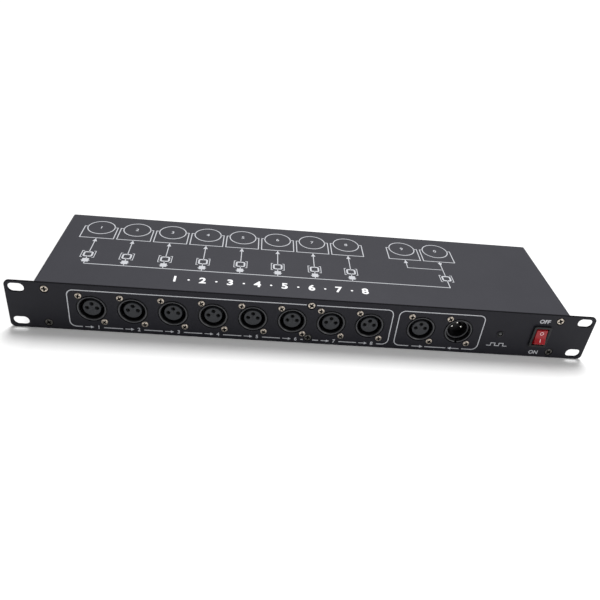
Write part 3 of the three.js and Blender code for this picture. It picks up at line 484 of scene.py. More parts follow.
def piece(name, mesh, matrix, materials, body="case", nodes=()):
    """Puts a mesh made in millimetres in its place and lets it ride on its body."""
    own = mesh.copy()
    own.transform(Matrix.Scale(MM, 4) @ matrix)
    for _ in range(len(materials) - len(own.materials)):
        own.materials.append(None)
    for i, one in enumerate(materials):
        own.materials[i] = one
    made = in_scene(name, own)
    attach(made, body)
    if nodes:
        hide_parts(*nodes)


# Screws: a domed or sunk head with a cross recess, and the shank behind it
BAR_PROUD, BAR_STEP, BAR_REACH_SHARE, BAR_WIDTH_SHARE = 1.0, 0.02, 0.6, 0.75
DOME_STEPS, SCREW_FACETS = 6, 40
CASE_SHANK = 1.6
SUNK_RADIUS, SUNK_FLAT, SUNK_EDGE = 2.85, 2.6, 0.15
SEAT_RADIUS, SEAT_DEPTH, SUNK_HEIGHT = 3.45, 0.6, 1.8
SUNK_SETBACK = 0.02
# turns of the screws in radians: the first socket screw's, and from each screw to the next
FIRST_TURN, SOCKET_TURN, PANEL_TURN, COVER_TURN = 0.35, 0.8, 0.5, 0.7


def recess_bar(reach, width, depth, turn):
    """Bar that narrows towards the bottom of a cross recess; its top stands proud."""
    form = bmesh.new()
    spin = Matrix.Rotation(turn, 4, "Z")
    top = [(reach, width / 2), (-reach, width / 2), (-reach, -width / 2), (reach, -width / 2)]
    upper = [form.verts.new(spin @ Vector((x, y, BAR_PROUD))) for x, y in top]
    lower = [form.verts.new(spin @ Vector((x * BAR_REACH_SHARE, y * BAR_WIDTH_SHARE, -depth)))
             for x, y in top]
    form.faces.new(upper)
    form.faces.new(lower[::-1])
    for i in range(4):
        j = (i + 1) % 4
        form.faces.new((upper[i], lower[i], lower[j], upper[j]))
    return settle(form)


def cross_screw(head, shank, length, reach, width, depth):
    """Screw from its head's profile; one bar of its recess is a little shallower."""
    profile = [*head, (shank, head[-1][1]), (shank, -length), (0, -length)]
    bars = [recess_bar(reach, width, depth - k * BAR_STEP, k * QUARTER) for k in (0, 1)]
    return cut(turned(profile, SCREW_FACETS), *[moved(bar, z=head[0][1]) for bar in bars])


def dome(radius, height, edge):
    """Head profile from its crown down to its rim, height 0 being the seat."""
    angles = [QUARTER * i / DOME_STEPS for i in range(DOME_STEPS + 1)]
    crown = [(radius * math.sin(a), edge + (height - edge) * math.cos(a)) for a in angles]
    return [*crown, (radius, 0)]


def sunk_screw(length):
    """Flat head with the ring of its seat round it, dark with painted shade."""
    head = [(0, 0), (SUNK_FLAT, 0), (SUNK_RADIUS, -SUNK_EDGE), (SUNK_RADIUS, -SEAT_DEPTH),
            (SEAT_RADIUS, -SEAT_DEPTH), (SEAT_RADIUS, -SEAT_DEPTH - SUNK_EDGE),
            (CASE_SHANK, -SUNK_HEIGHT)]
    mesh = cross_screw(head, CASE_SHANK, length, reach=2.6, width=1.6, depth=1.4)
    # the seat's ring takes the painted shade
    shade(mesh, 1, lambda face: face.center.xy.length > SUNK_RADIUS)
    return mesh


SOCKET_SCREW = cross_screw(dome(radius=2.7, height=1.3, edge=0.5), shank=1.5, length=5.0,
                           reach=2.3, width=1.5, depth=1.3)
CASE_SCREW = cross_screw(dome(radius=2.9, height=1.6, edge=0.6), shank=CASE_SHANK, length=5.2,
                         reach=2.3, width=1.5, depth=1.4)
SUNK_SCREW = sunk_screw(length=5.4)
INLET_SCREW = sunk_screw(length=8.0)
# each look's second finish paints shade into the recess and seat
SCREW_LOOK = (SCREW, RECESS_SHADE)
SHADED_LOOK = (SHADED_SCREW, RECESS_SHADE)


def turn_of(angle):
    """Rotation about a screw's own axis, so that no two recesses line up."""
    return Matrix.Rotation(angle, 4, "Z")


# every other panel screw takes the shaded copy of the finish, as painted shade
for i in range(6):
    x, _, z = centre(f"panel_screw_{i + 1}")
    piece(f"panel_screw_head_{i + 1}", SUNK_SCREW,
          spot(x, SUNK_SETBACK, z) @ turn_of(PANEL_TURN * i), SHADED_LOOK if i % 2 else SCREW_LOOK,
          nodes=[f"panel_screw_{i + 1}"])
for i in range(4):
    _, depth, z = centre(f"cover_screw_{i + 1}")
    side, facing = (-1, FACING_LEFT) if i < 2 else (1, FACING_RIGHT)
    piece(f"cover_screw_head_{i + 1}", CASE_SCREW,
          spot(side * CASE_HALF, depth, z, facing) @ turn_of(COVER_TURN * i), SCREW_LOOK,
          nodes=[f"cover_screw_{i + 1}"])
for i in range(2):
    x, _, z = centre(f"inlet_screw_{i + 1}")
    piece(f"inlet_screw_head_{i + 1}", INLET_SCREW, spot(x, REAR + INLET_FLANGE, z, FACING_BACK),
          SCREW_LOOK, nodes=[f"inlet_screw_{i + 1}"])

# Front panel: flat plate with softened edges, round holes for the sockets and four long slots
PANEL_CORNER, PANEL_BEVEL, UPWARD = 4, 0.25, 0.6
SLOT_INSET, SLOT_RISE = 8.8, 6.125
SLOT_WIDTH, SLOT_HEIGHT, SLOT_STEPS = 12.8, 8.1, 14
SUNK_HOLE, SUNK_HOLE_FACETS = 3.6, 31
SOCKET_HOLE = 12.3
SOCKET_SCREW_X, SOCKET_SCREW_Z, SOCKET_SCREW_HOLE = 9.5, 12, 1.75
LAMP_HOLE = 2.65
SWITCH_HOLE = 13.5, 19.7, 0.4


def long_slot(x, z):
    """Outline of a rack slot: two half rounds joined by straight sides."""
    radius, reach = SLOT_HEIGHT / 2, SLOT_WIDTH / 2 - SLOT_HEIGHT / 2
    points = []
    for side in (1, -1):
        points += arc(x + side * reach, z, radius, -side * QUARTER, math.pi, SLOT_STEPS)
    return points


outlines = [rounded(0, 0, PANEL_WIDTH, PANEL_HEIGHT, PANEL_CORNER, 8)]
outlines += [long_slot(sx * (PANEL_WIDTH / 2 - SLOT_INSET), sz * (PANEL_HEIGHT / 2 - SLOT_RISE))
             for sx in (-1, 1) for sz in (-1, 1)]
for x in SOCKET_X.values():
    outlines.append(circle(x, 0, SOCKET_HOLE))
    outlines += [circle(x - s * SOCKET_SCREW_X, s * SOCKET_SCREW_Z, SOCKET_SCREW_HOLE, 20)
                 for s in (-1, 1)]
outlines.append(circle(LAMP_X, 0, LAMP_HOLE, 24))
outlines.append(rounded(SWITCH_X, 0, *SWITCH_HOLE, 2))
for i in range(6):
    x, _, z = centre(f"panel_screw_{i + 1}")
    # each hole has its own number of corners, so that no three of them line up in the fill
    outlines.append(circle(x, z - ROW, SUNK_HOLE, SUNK_HOLE_FACETS + i))
panel = plate(outlines, PANEL_THICKNESS, PANEL_BEVEL)
# faces that look upwards take the painted shade
shade(panel, 1, lambda face: face.normal.y > UPWARD)
piece("front_plate", panel, spot(0, 0, ROW), (PANEL_COAT, PANEL_TOP_SHADE), nodes=["front_panel"])

# Female sockets: eight outputs and the through socket
# heights of turned profiles count forward from the panel's face
BARREL, BORE, TAIL_HOLE = 11.9, 9.8, 6.6
BORE_DEPTH, SOCKET_BACK = 14, 18.2
LIP = [(BARREL, -5.2), (BARREL, -0.8), (11.5, -0.85), (11.42, -0.1), (11.25, 0.3), (11.0, 0.42),
       (10.75, 0.34), (10.6, 0.15), (10.42, 0.05)]
BORE_EDGE = [(10.25, -0.05), (10.05, -0.25), (9.85, -0.6), (BORE, -0.9)]
RIM_INNER, RIM_OUTER = 10.4, 11.45
FLANGE_HOLE = 11.6
FLANGE = 26, 31, 3
FLANGE_FRONT, FLANGE_THICKNESS = 3.2, 2.0
SKIRT = 24, 25.6, 4
SKIRT_FRONT, SKIRT_DEPTH = 5.4, 12.6
CONTACT_REACH = 3.95
CONTACTS = ((-CONTACT_REACH, 0), (CONTACT_REACH, 0), (0, CONTACT_REACH))
INSERT_RADIUS, INSERT_DEPTH, INSERT_RECESS, INSERT_BEVEL = 7.15, 9.0, 1, 0.3
INSERT_HOLE = 1.65
INSERT_BACK, INSERT_BASE, STUB_RADIUS, STUB_BACK = 10, 7.4, 6.2, 18.8
DIGIT_SIZE, DIGIT_INK, DIGIT_SINK, DIGIT_DROP = 1.9, 0.1, 0.02, 2.9
THIRD_DIGIT_X, THIRD_DIGIT_Y = 2.3, 4.6
RIDGE = 1.1, 3.2, 0.4
RIDGE_THICKNESS, RIDGE_Y, RIDGE_BEVEL, RIDGE_DEPTH = 0.25, -0.2, 0.08, 0.8
SPRING_OUTER, SPRING_MOUTH, SPRING_INNER = 1.4, 1.0, 0.95
SPRING_FRONT, SPRING_NECK, SPRING_BACK = 3.6, 3.8, 9.5
SMALL_FACETS = 28


def on_sheen_crest(face):
    """Whether a face belongs to the crest of a socket's lip, which carries a painted highlight."""
    return RIM_INNER < face.center.xy.length < RIM_OUTER and face.center.z > 0


BARREL_END = [(TAIL_HOLE, -BORE_DEPTH), (TAIL_HOLE, -SOCKET_BACK), (BARREL, -SOCKET_BACK)]
flange = plate([rounded(0, 0, *FLANGE), circle(0, 0, FLANGE_HOLE)], FLANGE_THICKNESS, SMALL)
skirt = plate([rounded(0, 0, *SKIRT), circle(0, 0, FLANGE_HOLE)], SKIRT_DEPTH, SMALL)
MOUNTING = (moved(flange, z=-FLANGE_FRONT), moved(skirt, z=-SKIRT_FRONT))
FEMALE_MESH = joined(turned([*LIP, *BORE_EDGE, (BORE, -BORE_DEPTH), *BARREL_END]), *MOUNTING)
shade(FEMALE_MESH, 2, on_sheen_crest)

holes = [circle(x, y, INSERT_HOLE, SMALL_FACETS) for x, y in CONTACTS]
digits = (("1", CONTACT_REACH, -DIGIT_DROP), ("2", -CONTACT_REACH, -DIGIT_DROP),
          ("3", THIRD_DIGIT_X, THIRD_DIGIT_Y))
INSERT_MESH = joined(
    moved(plate([circle(0, 0, INSERT_RADIUS, 64), *holes], INSERT_DEPTH, INSERT_BEVEL, 3),
          z=-INSERT_RECESS),
    turned([(0, -INSERT_BACK), (INSERT_BASE, -INSERT_BACK), (INSERT_BASE, -BORE_DEPTH),
            (STUB_RADIUS, -BORE_DEPTH), (STUB_RADIUS, -STUB_BACK), (0, -STUB_BACK)]),
    *[moved(lettering(words, DIGIT_SIZE, thick=DIGIT_INK), x, y, -INSERT_RECESS - DIGIT_SINK)
      for words, x, y in digits],
    moved(plate([rounded(0, RIDGE_Y, *RIDGE, 3)], RIDGE_THICKNESS, RIDGE_BEVEL), z=-RIDGE_DEPTH),
)
spring = turned([(SPRING_OUTER, -SPRING_FRONT), (SPRING_MOUTH, -SPRING_FRONT),
                 (SPRING_INNER, -SPRING_NECK), (SPRING_INNER, -SPRING_BACK),
                 (SPRING_OUTER, -SPRING_BACK)], SMALL_FACETS)
SPRINGS = joined(*[moved(spring, x, y) for x, y in CONTACTS])

for name in FEMALE:
    place = spot(SOCKET_X[name], 0, ROW)
    piece(f"{name}_shell", FEMALE_MESH, place, (HOUSING, HOUSING, RIM_SHEEN),
          nodes=[f"{name}_socket"])
    piece(f"{name}_core", INSERT_MESH, place, (INSERT,), nodes=[f"{name}_insert"])
    # the springs deep in the holes take the painted shade
    piece(f"{name}_contacts", SPRINGS, place, (CONTACT_SHADE,))

for number, (name, x) in enumerate(SOCKET_X.items()):
    for side, label in ((1, "upper"), (-1, "lower")):
        place = spot(x - side * SOCKET_SCREW_X, 0, ROW + side * SOCKET_SCREW_Z)
        turn = turn_of(FIRST_TURN + SOCKET_TURN * number + side)
        piece(f"{name}_screw_{label}", SOCKET_SCREW, place @ turn, SCREW_LOOK)

# Input socket: stepped cup with a key slot at the bottom, a pin disc and three pins
# its mouth has a groove behind a raised wall
MOUTH, GROOVE_DEPTH = 10.2, 6.0
WALL_OUTER, WALL_DEPTH, WALL_ROUND, WALL_EDGE, WALL_SHEEN_BAND = 9.5, 3.4, 0.2, 0.3, 0.4
CUP = 8.3
KEY = 2.0, 3.4, 0.3
KEY_Y, KEY_DEPTH, KEY_PROUD = -10.9, 3.6, 1
DISC_RADIUS, DISC_THICKNESS, DISC_FRONT, DISC_BACK = 8.0, 3.0, 11, 13
COLLAR_OUTER, COLLAR_CROWN, COLLAR_INNER, COLLAR_HEIGHT = 2.0, 1.8, 1.3, 0.3
PIN_RADIUS, PIN_FRONT, PIN_SHADE_FROM, PIN_BACK = 1.25, 6.5, 7.2, 20.8
TAIL_DROP, TAIL_WIDTH, TAIL_THICKNESS, TAIL_CORNER, TAIL_LAP = 13.1, 1.0, 0.6, 0.2, 0.2

cup = turned([*LIP, (10.3, -0.3), (MOUTH, -0.7), (MOUTH, -GROOVE_DEPTH),
              (WALL_OUTER, -GROOVE_DEPTH), (WALL_OUTER, -WALL_DEPTH - WALL_EDGE),
              (WALL_OUTER - WALL_ROUND, -WALL_DEPTH), (CUP + WALL_ROUND, -WALL_DEPTH),
              (CUP, -WALL_DEPTH - WALL_EDGE), (CUP, -BORE_DEPTH), *BARREL_END])
key = plate([rounded(0, KEY_Y, *KEY, 2)], KEY_DEPTH)
input_mesh = joined(cut(cup, moved(key, z=KEY_PROUD)), *MOUNTING)
# the crest and the front band of the inner wall take the painted highlight
shade(input_mesh, 2, on_sheen_crest)
shade(input_mesh, 2, lambda face: (CUP < face.center.xy.length < WALL_OUTER
                                   and face.center.z > -WALL_DEPTH - WALL_SHEEN_BAND))
collar = turned([(COLLAR_INNER, -DISC_FRONT), (COLLAR_OUTER, -DISC_FRONT),
                 (COLLAR_CROWN, COLLAR_HEIGHT - DISC_FRONT),
                 (COLLAR_INNER, COLLAR_HEIGHT - DISC_FRONT)], SMALL_FACETS)
disc = joined(
    moved(plate([circle(0, 0, DISC_RADIUS, 64)], DISC_THICKNESS, SMALL), z=-DISC_FRONT),
    turned([(0, -DISC_BACK), (STUB_RADIUS, -DISC_BACK), (STUB_RADIUS, -STUB_BACK),
            (0, -STUB_BACK)]),
    *[moved(collar, x, y) for x, y in CONTACTS],
)
pin = turned([(0, -PIN_FRONT), (0.45, -6.56), (0.85, -6.8), (1.1, -7.15), (PIN_RADIUS, -7.7),
              (PIN_RADIUS, -PIN_BACK), (0, -PIN_BACK)], SMALL_FACETS)
place = spot(SOCKET_X["input"], 0, ROW)
piece("input_shell", input_mesh, place, (HOUSING, HOUSING, RIM_SHEEN), nodes=["input_socket"])
piece("input_disc", disc, place, (HOUSING,), nodes=["input_insert"])
for side, (x, y) in zip(("left", "right", "top"), CONTACTS):
    drop = TAIL_DROP + y
    tail = plate([rounded(0, -drop / 2, TAIL_WIDTH, drop, TAIL_CORNER, 2)], TAIL_THICKNESS, FINE)
    mesh = joined(pin, moved(tail, z=-PIN_BACK + TAIL_LAP))
    # the pin's tip keeps the plain metal, and its shaft behind takes the painted shade
    shade(mesh, 1, lambda face: face.center.z <= -PIN_SHADE_FROM)
    piece(f"input_contact_{side}", mesh, spot(SOCKET_X["input"] + x, 0, ROW + y),
          (CONTACT, CONTACT_SHADE), nodes=[f"input_pin_{side}"])

# Signal lamp: profiles of the bezel with its sleeve, and of the domed lens
bezel = turned([(2.4, -4.6), (2.4, 0.0), (2.9, 0.0), (2.9, 0.45), (2.75, 0.7), (2.5, 0.8),
                (2.05, 0.8), (1.85, 0.55), (1.8, 0.1), (1.8, -4.6)], 48)
lens = turned([(0, 1.05), (0.4, 1.0), (0.8, 0.85), (1.1, 0.62), (1.35, 0.28), (1.45, -0.1),
               (1.5, -0.5), (1.5, -4.5), (0, -4.5)], 40)
piece("lamp_ring", bezel, spot(LAMP_X, 0, ROW), (SWITCH,), nodes=["lamp_bezel"])
piece("lamp_dome", lens, spot(LAMP_X, 0, ROW), (LENS,), nodes=["signal_lamp"])

# Rocker switch: a bezel and a body with a well, and the rocker leaning in it
BEZEL = 15, 21, 1.2
BEZEL_THICKNESS, BEZEL_BEVEL = 2.0, 0.45
BODY = 12.9, 19.1, 0.6
WELL_DEPTH, BODY_DEPTH = 5.7, 14
OPENING = 10.7, 16.9, 0.5
TAB = 4.8, 0.8, 0.2
TAB_LENGTH, TAB_OFFSET = 8.0, 3.5
PIVOT_DEPTH, REST_LEAN = 1.5, 12
ROCKER_WIDTH, ROCKER_BEVEL = 9.6, 0.6
VALLEY_REACH = 4.0
FACE_HALF, FACE_RISE, FACE_BEND, FACE_STEPS = 5.65, 0.85, 1.4, 8
TIP_UP, TIP_FORWARD, TIP_STEPS = 6.35, 4.85, 6
MARK_HEIGHT, MARK_INK, MARK_LIFT = 3.3, 0.08, 0.01
O_RADIUS, O_STROKE, I_HALF, I_STROKE = 1.35, 0.5, 1.6, 0.55

opening = rounded(0, 0, *OPENING, 3)
body = rounded(0, 0, *BODY)
tab = plate([rounded(0, 0, *TAB, 2)], TAB_LENGTH, FINE)
switch_mesh = joined(
    moved(plate([rounded(0, 0, *BEZEL), opening], BEZEL_THICKNESS, BEZEL_BEVEL, 4),
          z=BEZEL_THICKNESS),
    plate([body, opening], WELL_DEPTH),
    moved(plate([body], BODY_DEPTH - WELL_DEPTH, SOFT), z=-WELL_DEPTH),
    *[moved(tab, y=s * TAB_OFFSET, z=-BODY_DEPTH) for s in (-1, 1)],
)
piece("switch_frame", switch_mesh, spot(SWITCH_X, 0, ROW), (SWITCH,), nodes=["switch_body"])


def rocker_face(height):
    """How far the hollow face stands before the pivot at a height."""
    return VALLEY_REACH + FACE_RISE * (height / FACE_HALF) ** FACE_BEND


def rocker_outline():
    """Side view of the rocker round its pivot, level: (forward, up)."""
    sweep = math.hypot(TIP_UP, TIP_FORWARD)
    tip = math.atan2(TIP_UP, TIP_FORWARD)
    heights = [FACE_HALF * k / FACE_STEPS for k in range(1, FACE_STEPS + 1)]
    upper = [(rocker_face(height), height) for height in heights]
    rim = [(4.94, 6.0), (4.9, 6.25)]
    end = arc(0, 0, sweep, tip, QUARTER - tip, TIP_STEPS)[1:]
    half = [*upper, *rim, *end, (0, 3), (-2.2, 1.5)]
    return [(VALLEY_REACH, 0), *half, *[(a, -b) for a, b in reversed(half)]]


pivot = spot(SWITCH_X, PIVOT_DEPTH, ROW, FACING_UP)
pivot = pivot @ Matrix.Rotation(math.radians(-REST_LEAN), 4, "X")
# the outline is drawn in (-y, z) of the pivot's axes and built out along x
rocker = plate([rocker_outline()], ROCKER_WIDTH, ROCKER_BEVEL, 4)
rocker.transform(Matrix(((0, 0, -1, -ROCKER_WIDTH / 2), (-1, 0, 0, 0), (0, 1, 0, 0),
                         (0, 0, 0, 1))))
piece("rocker_cap", rocker, pivot, (ROCKER,), body="rocker", nodes=["switch_rocker"])
rise = FACE_BEND * FACE_RISE / FACE_HALF * (MARK_HEIGHT / FACE_HALF) ** (FACE_BEND - 1)
for name, mesh, side in (
    ("rocker_mark_off", ribbon(circle(0, 0, O_RADIUS, 32), O_STROKE, True, MARK_INK), 1),
    ("rocker_mark_on", ribbon([(0, I_HALF), (0, -I_HALF)], I_STROKE, False, MARK_INK), -1),
):
    rest = Matrix.Translation((0, -rocker_face(MARK_HEIGHT) - MARK_LIFT, side * MARK_HEIGHT))
    slope = Matrix.Rotation(side * math.atan(rise), 4, "X")
    piece(name, mesh, pivot @ rest @ slope @ FACING_FRONT, (MARK,), body="rocker")

# Printing on the front panel
LINE_LOW, LINE_TOP, FRAME_CORNER, FRAME_STROKE, FRAME_STEPS = -18.2, 17.0, 5.0, 0.75, 8
OUTPUT_FRAME_LEFT, OUTPUT_FRAME_RIGHT = -193.9, 68.7
INPUT_FRAME_LEFT, INPUT_FRAME_RIGHT = 73.9, 146.6
OUTPUT_GAP, PAIR_GAP, SCREW_GAP_LOW, SCREW_GAP_TOP = 8.6, 7.0, 4.0, 4.2
ARROW_STROKE = 0.6
OUTPUT_TAIL, OUTPUT_NECK, OUTPUT_TIP, OUTPUT_BARB, NUMBER_SHIFT = -6.6, -2.0, 0.6, 1.3, 4.4
PAIR_TAIL, PAIR_NECK, PAIR_TIP, PAIR_BARB = 4.6, 2.4, 5.4, 1.4
NUMBER_SIZE, NUMBER_WEIGHT = 4.8, 0.09
WAVE_STEP, WAVE_HALF_HEIGHT, WAVE_Z = 3.6, 1.4, -11.2
WORD_SIZE, WORD_SHEAR, WORD_WEIGHT = 5.2, 0.05, 0.12
OFF_Z, ON_Z, ON_SHIFT = 15.0, -17.3, 0.5


def frame_line(left, right, top_gaps, low_gaps):
    """Rounded rectangle as open lines; gaps in its long edges are (from, to) along x."""
    def bend(x, z, start):
        return arc(x, z, FRAME_CORNER, start, -QUARTER, FRAME_STEPS)

    low, high = LINE_LOW + FRAME_CORNER, LINE_TOP - FRAME_CORNER
    west, east = left + FRAME_CORNER, right - FRAME_CORNER
    gaps = sorted(low_gaps)
    start = [(gaps[0][0], LINE_LOW), *bend(west, low, -QUARTER), *bend(west, high, math.pi)]
    end = [*bend(east, high, QUARTER), *bend(east, low, 0), (gaps[-1][1], LINE_LOW)]
    lines = [[(a[1], LINE_LOW), (b[0], LINE_LOW)] for a, b in zip(gaps, gaps[1:])]
    if not top_gaps:
        return [start + end, *lines]
    tops = sorted(top_gaps)
    lines += [[(a[1], LINE_TOP), (b[0], LINE_TOP)] for a, b in zip(tops, tops[1:])]
    return [[*start, (tops[0][0], LINE_TOP)], [(tops[-1][1], LINE_TOP), *end], *lines]


def gap_about(x, half):
    """Ends of a gap in a frame's line."""
    return x - half, x + half


def arrow_along(x, way, tail, neck, tip, barb):
    """Arrow on the low line; its places are counted from x, and way is 1 to the right."""
    at = [(x + way * tail, LINE_LOW), (x + way * neck, LINE_LOW)]
    head = [(x + way * tip, LINE_LOW), (at[1][0], LINE_LOW + barb), (at[1][0], LINE_LOW - barb)]
    return [ribbon(at, ARROW_STROKE), solid(head)]


outputs = [SOCKET_X[name] for name in OUTPUTS]
pair = [SOCKET_X["through"], SOCKET_X["input"]]
middle_screw = centre("panel_screw_3")[0]
output_gaps = [gap_about(x, OUTPUT_GAP) for x in outputs]
output_gaps.append(gap_about(middle_screw, SCREW_GAP_LOW))
lines = frame_line(OUTPUT_FRAME_LEFT, OUTPUT_FRAME_RIGHT,
                   [gap_about(middle_screw, SCREW_GAP_TOP)], output_gaps)
lines += frame_line(INPUT_FRAME_LEFT, INPUT_FRAME_RIGHT, [],
                    [gap_about(x, PAIR_GAP) for x in pair])
panel_print = [ribbon(line, FRAME_STROKE) for line in lines]
# an arrow out of each output, with its number
for number, x in enumerate(outputs):
    panel_print += arrow_along(x, 1, OUTPUT_TAIL, OUTPUT_NECK, OUTPUT_TIP, OUTPUT_BARB)
    panel_print.append(moved(lettering(str(number + 1), NUMBER_SIZE, weight=NUMBER_WEIGHT),
                             x + NUMBER_SHIFT, LINE_LOW))
# arrows out of the through socket and into the input
for x, way in zip(pair, (1, -1)):
    panel_print += arrow_along(x, way, -PAIR_TAIL, PAIR_NECK, PAIR_TIP, PAIR_BARB)
# a square wave under the lamp: five level stretches, low ones first and last
wave = []
for k in range(5):
    level = WAVE_HALF_HEIGHT if k % 2 else -WAVE_HALF_HEIGHT
    wave += [((k - 2.5) * WAVE_STEP, level), ((k - 1.5) * WAVE_STEP, level)]
panel_print.append(moved(ribbon(wave, ARROW_STROKE), LAMP_X, WAVE_Z))
for word, x, z in (("OFF", SWITCH_X, OFF_Z), ("ON", SWITCH_X - ON_SHIFT, ON_Z)):
    panel_print.append(moved(lettering(word, WORD_SIZE, WORD_SHEAR, WORD_WEIGHT), x, z))
piece("panel_print", joined(*panel_print), spot(0, -INK_OFFSET, ROW), (PRINT,))

# Cover: folded sheet with round bends
SHEET, SHEET_BEND, FOLD_STEPS = 1.2, 1.0, 8


def folded(path):
    """Closed outline of a sheet bent along a path whose inside lies on its left."""
    reach = SHEET_BEND + SHEET
    ways = [(Vector(b) - Vector(a)).normalized() for a, b in zip(path, path[1:])]
    lefts = [Vector((-way.y, way.x)) for way in ways]

    def side(offset):
        line = [Vector(path[0]) + lefts[0] * offset]
        for point, before, after in zip(path[1:], lefts, lefts[1:]):
            hub = Vector(point) + before * reach + after * reach
            start = math.atan2(-before.y, -before.x)
            line += arc(hub.x, hub.y, reach - offset, start, QUARTER, FOLD_STEPS)
        return [*line, Vector(path[-1]) + lefts[-1] * offset]

    return side(0) + side(SHEET)[::-1]


cover_path = [(CASE_HALF, COVER_FOOT), (CASE_HALF, TOP), (-CASE_HALF, TOP),
              (-CASE_HALF, COVER_FOOT)]
cover = plate([folded(cover_path)], REAR - PANEL_THICKNESS, FINE, 1)
piece("cover_sheet", cover, spot(0, PANEL_THICKNESS, 0), (COVER_COAT,), nodes=["top_cover"])

# Printing on the cover: a plain block diagram. Points are (x, depth from the panel's face).
THIN, MEDIUM, BROAD = 0.75, 0.85, 0.9
FIRST_SIGN, SIGN_PITCH, THROUGH_SIGN, INPUT_SIGN = -188.9, 32.3, 90.7, 123.1
RING_DEPTH, RING_RADIUS, RING_JOIN = 99.5, 12.0, 11.9
HOOP_HALF, HOOP_TOP, HOOP_FOOT = 14.7, 100.6, 79.6
SIGN_SIZE, SIGN_WEIGHT = 6.0, 0.08
ARROW_AHEAD, ARROW_BEHIND, ARROW_HALF = 2.8, 2.4, 2.0
UP_ARROW, DOWN_ARROW, BRANCH_DEPTH = 75.6, 75.0, 65.0
OPTO_DEPTH, INPUT_OPTO_DEPTH, OPTO_TOP = 50.6, 50.0, 54.0
OPTO = 6.8, 7.0, 1.4
OPTO_STROKE = 1.5
BRACKET_HALF, BRACKET_FOOT, BRACKET_RISE, BRACKET_STROKE = 5.6, 3.9, 5.3, 0.65
BUS_DEPTH, OPTO_FOOT, INPUT_OPTO_FOOT = 35.0, 47.4, 47.0
BLOCK = 5.4, 5.4, 0.1
BLOCK_DEPTH = 40.6
TICK_DEPTH, TICK_HALF, TICK_STROKE = 40.2, 3.6, 0.8
ROW_LEFT, ROW_PITCH, ROW_DEPTH, ROW_SIZE, ROW_WEIGHT, ROW_DOT = -112, 22.6, 19.8, 11.5, 0.35, 1.0

diagram = []


def draw(points, width=MEDIUM, closed=False):
    """Adds a line to the diagram."""
    diagram.append(ribbon(points, width, closed))


def fill(points):
    """Adds a filled shape to the diagram."""
    diagram.append(solid(points, BOLD_INK))


def socket_sign(x, words):
    """Ring of a socket on its hoop."""
    draw(circle(x, RING_DEPTH, RING_RADIUS, 64), BROAD, True)
    for s in (-1, 1):
        draw([(x + s * RING_JOIN, HOOP_TOP), (x + s * HOOP_HALF, HOOP_TOP),
              (x + s * HOOP_HALF, HOOP_FOOT), (x, HOOP_FOOT)])
    diagram.append(moved(lettering(words, SIGN_SIZE, weight=SIGN_WEIGHT), x, RING_DEPTH))


def opto_sign(x, depth):
    """Ring of an isolating stage between two brackets."""
    draw(rounded(x, depth, *OPTO, 4), OPTO_STROKE, True)
    for s in (-1, 1):
        foot, side = x + s * BRACKET_FOOT, x + s * BRACKET_HALF
        top, base = depth + BRACKET_RISE, depth - BRACKET_RISE
        draw([(foot, top), (side, top), (side, base), (foot, base)], BRACKET_STROKE)


def arrow(x, depth, way):
    """Adds an arrowhead, which points to the rear where way is 1."""
    base = depth - way * ARROW_BEHIND
    fill([(x, depth + way * ARROW_AHEAD), (x - ARROW_HALF, base), (x + ARROW_HALF, base)])


signs = [FIRST_SIGN + SIGN_PITCH * k for k in range(8)]
for number, x in enumerate(signs):
    socket_sign(x, str(number + 1))
    draw([(x, HOOP_FOOT), (x, OPTO_TOP)], THIN)
    arrow(x, UP_ARROW, 1)
    opto_sign(x, OPTO_DEPTH)
    draw([(x, OPTO_FOOT), (x, BUS_DEPTH)], THIN)
    fill(rounded(x, BLOCK_DEPTH, *BLOCK, 1))
    draw([(x - TICK_HALF, TICK_DEPTH), (x + TICK_HALF, TICK_DEPTH)], TICK_STROKE)
socket_sign(THROUGH_SIGN, "9")
socket_sign(INPUT_SIGN, "0")
arrow(THROUGH_SIGN, UP_ARROW, 1)
draw([(THROUGH_SIGN, HOOP_FOOT), (THROUGH_SIGN, BRANCH_DEPTH), (INPUT_SIGN, BRANCH_DEPTH)], THIN)
arrow(INPUT_SIGN, DOWN_ARROW, -1)
draw([(INPUT_SIGN, HOOP_FOOT), (INPUT_SIGN, OPTO_TOP)], THIN)
opto_sign(INPUT_SIGN, INPUT_OPTO_DEPTH)
draw([(signs[0], BUS_DEPTH), (INPUT_SIGN, BUS_DEPTH), (INPUT_SIGN, INPUT_OPTO_FOOT)])
ON_COVER = spot(0, 0, TOP - INK_OFFSET, FACING_UP)
piece("cover_print", joined(*diagram), ON_COVER, (PRINT,))

# Row of plain numbers where the cover carries its title, with dots between them
numbers = [moved(lettering(str(k + 1), ROW_SIZE, weight=ROW_WEIGHT),
                 ROW_LEFT + ROW_PITCH * k, ROW_DEPTH) for k in range(8)]
dots = [solid(circle(ROW_LEFT + ROW_PITCH * (k + 0.5), ROW_DEPTH, ROW_DOT, 20))
        for k in range(7)]
piece("cover_numbers", joined(*numbers, *dots), ON_COVER, (TITLE_PRINT,))

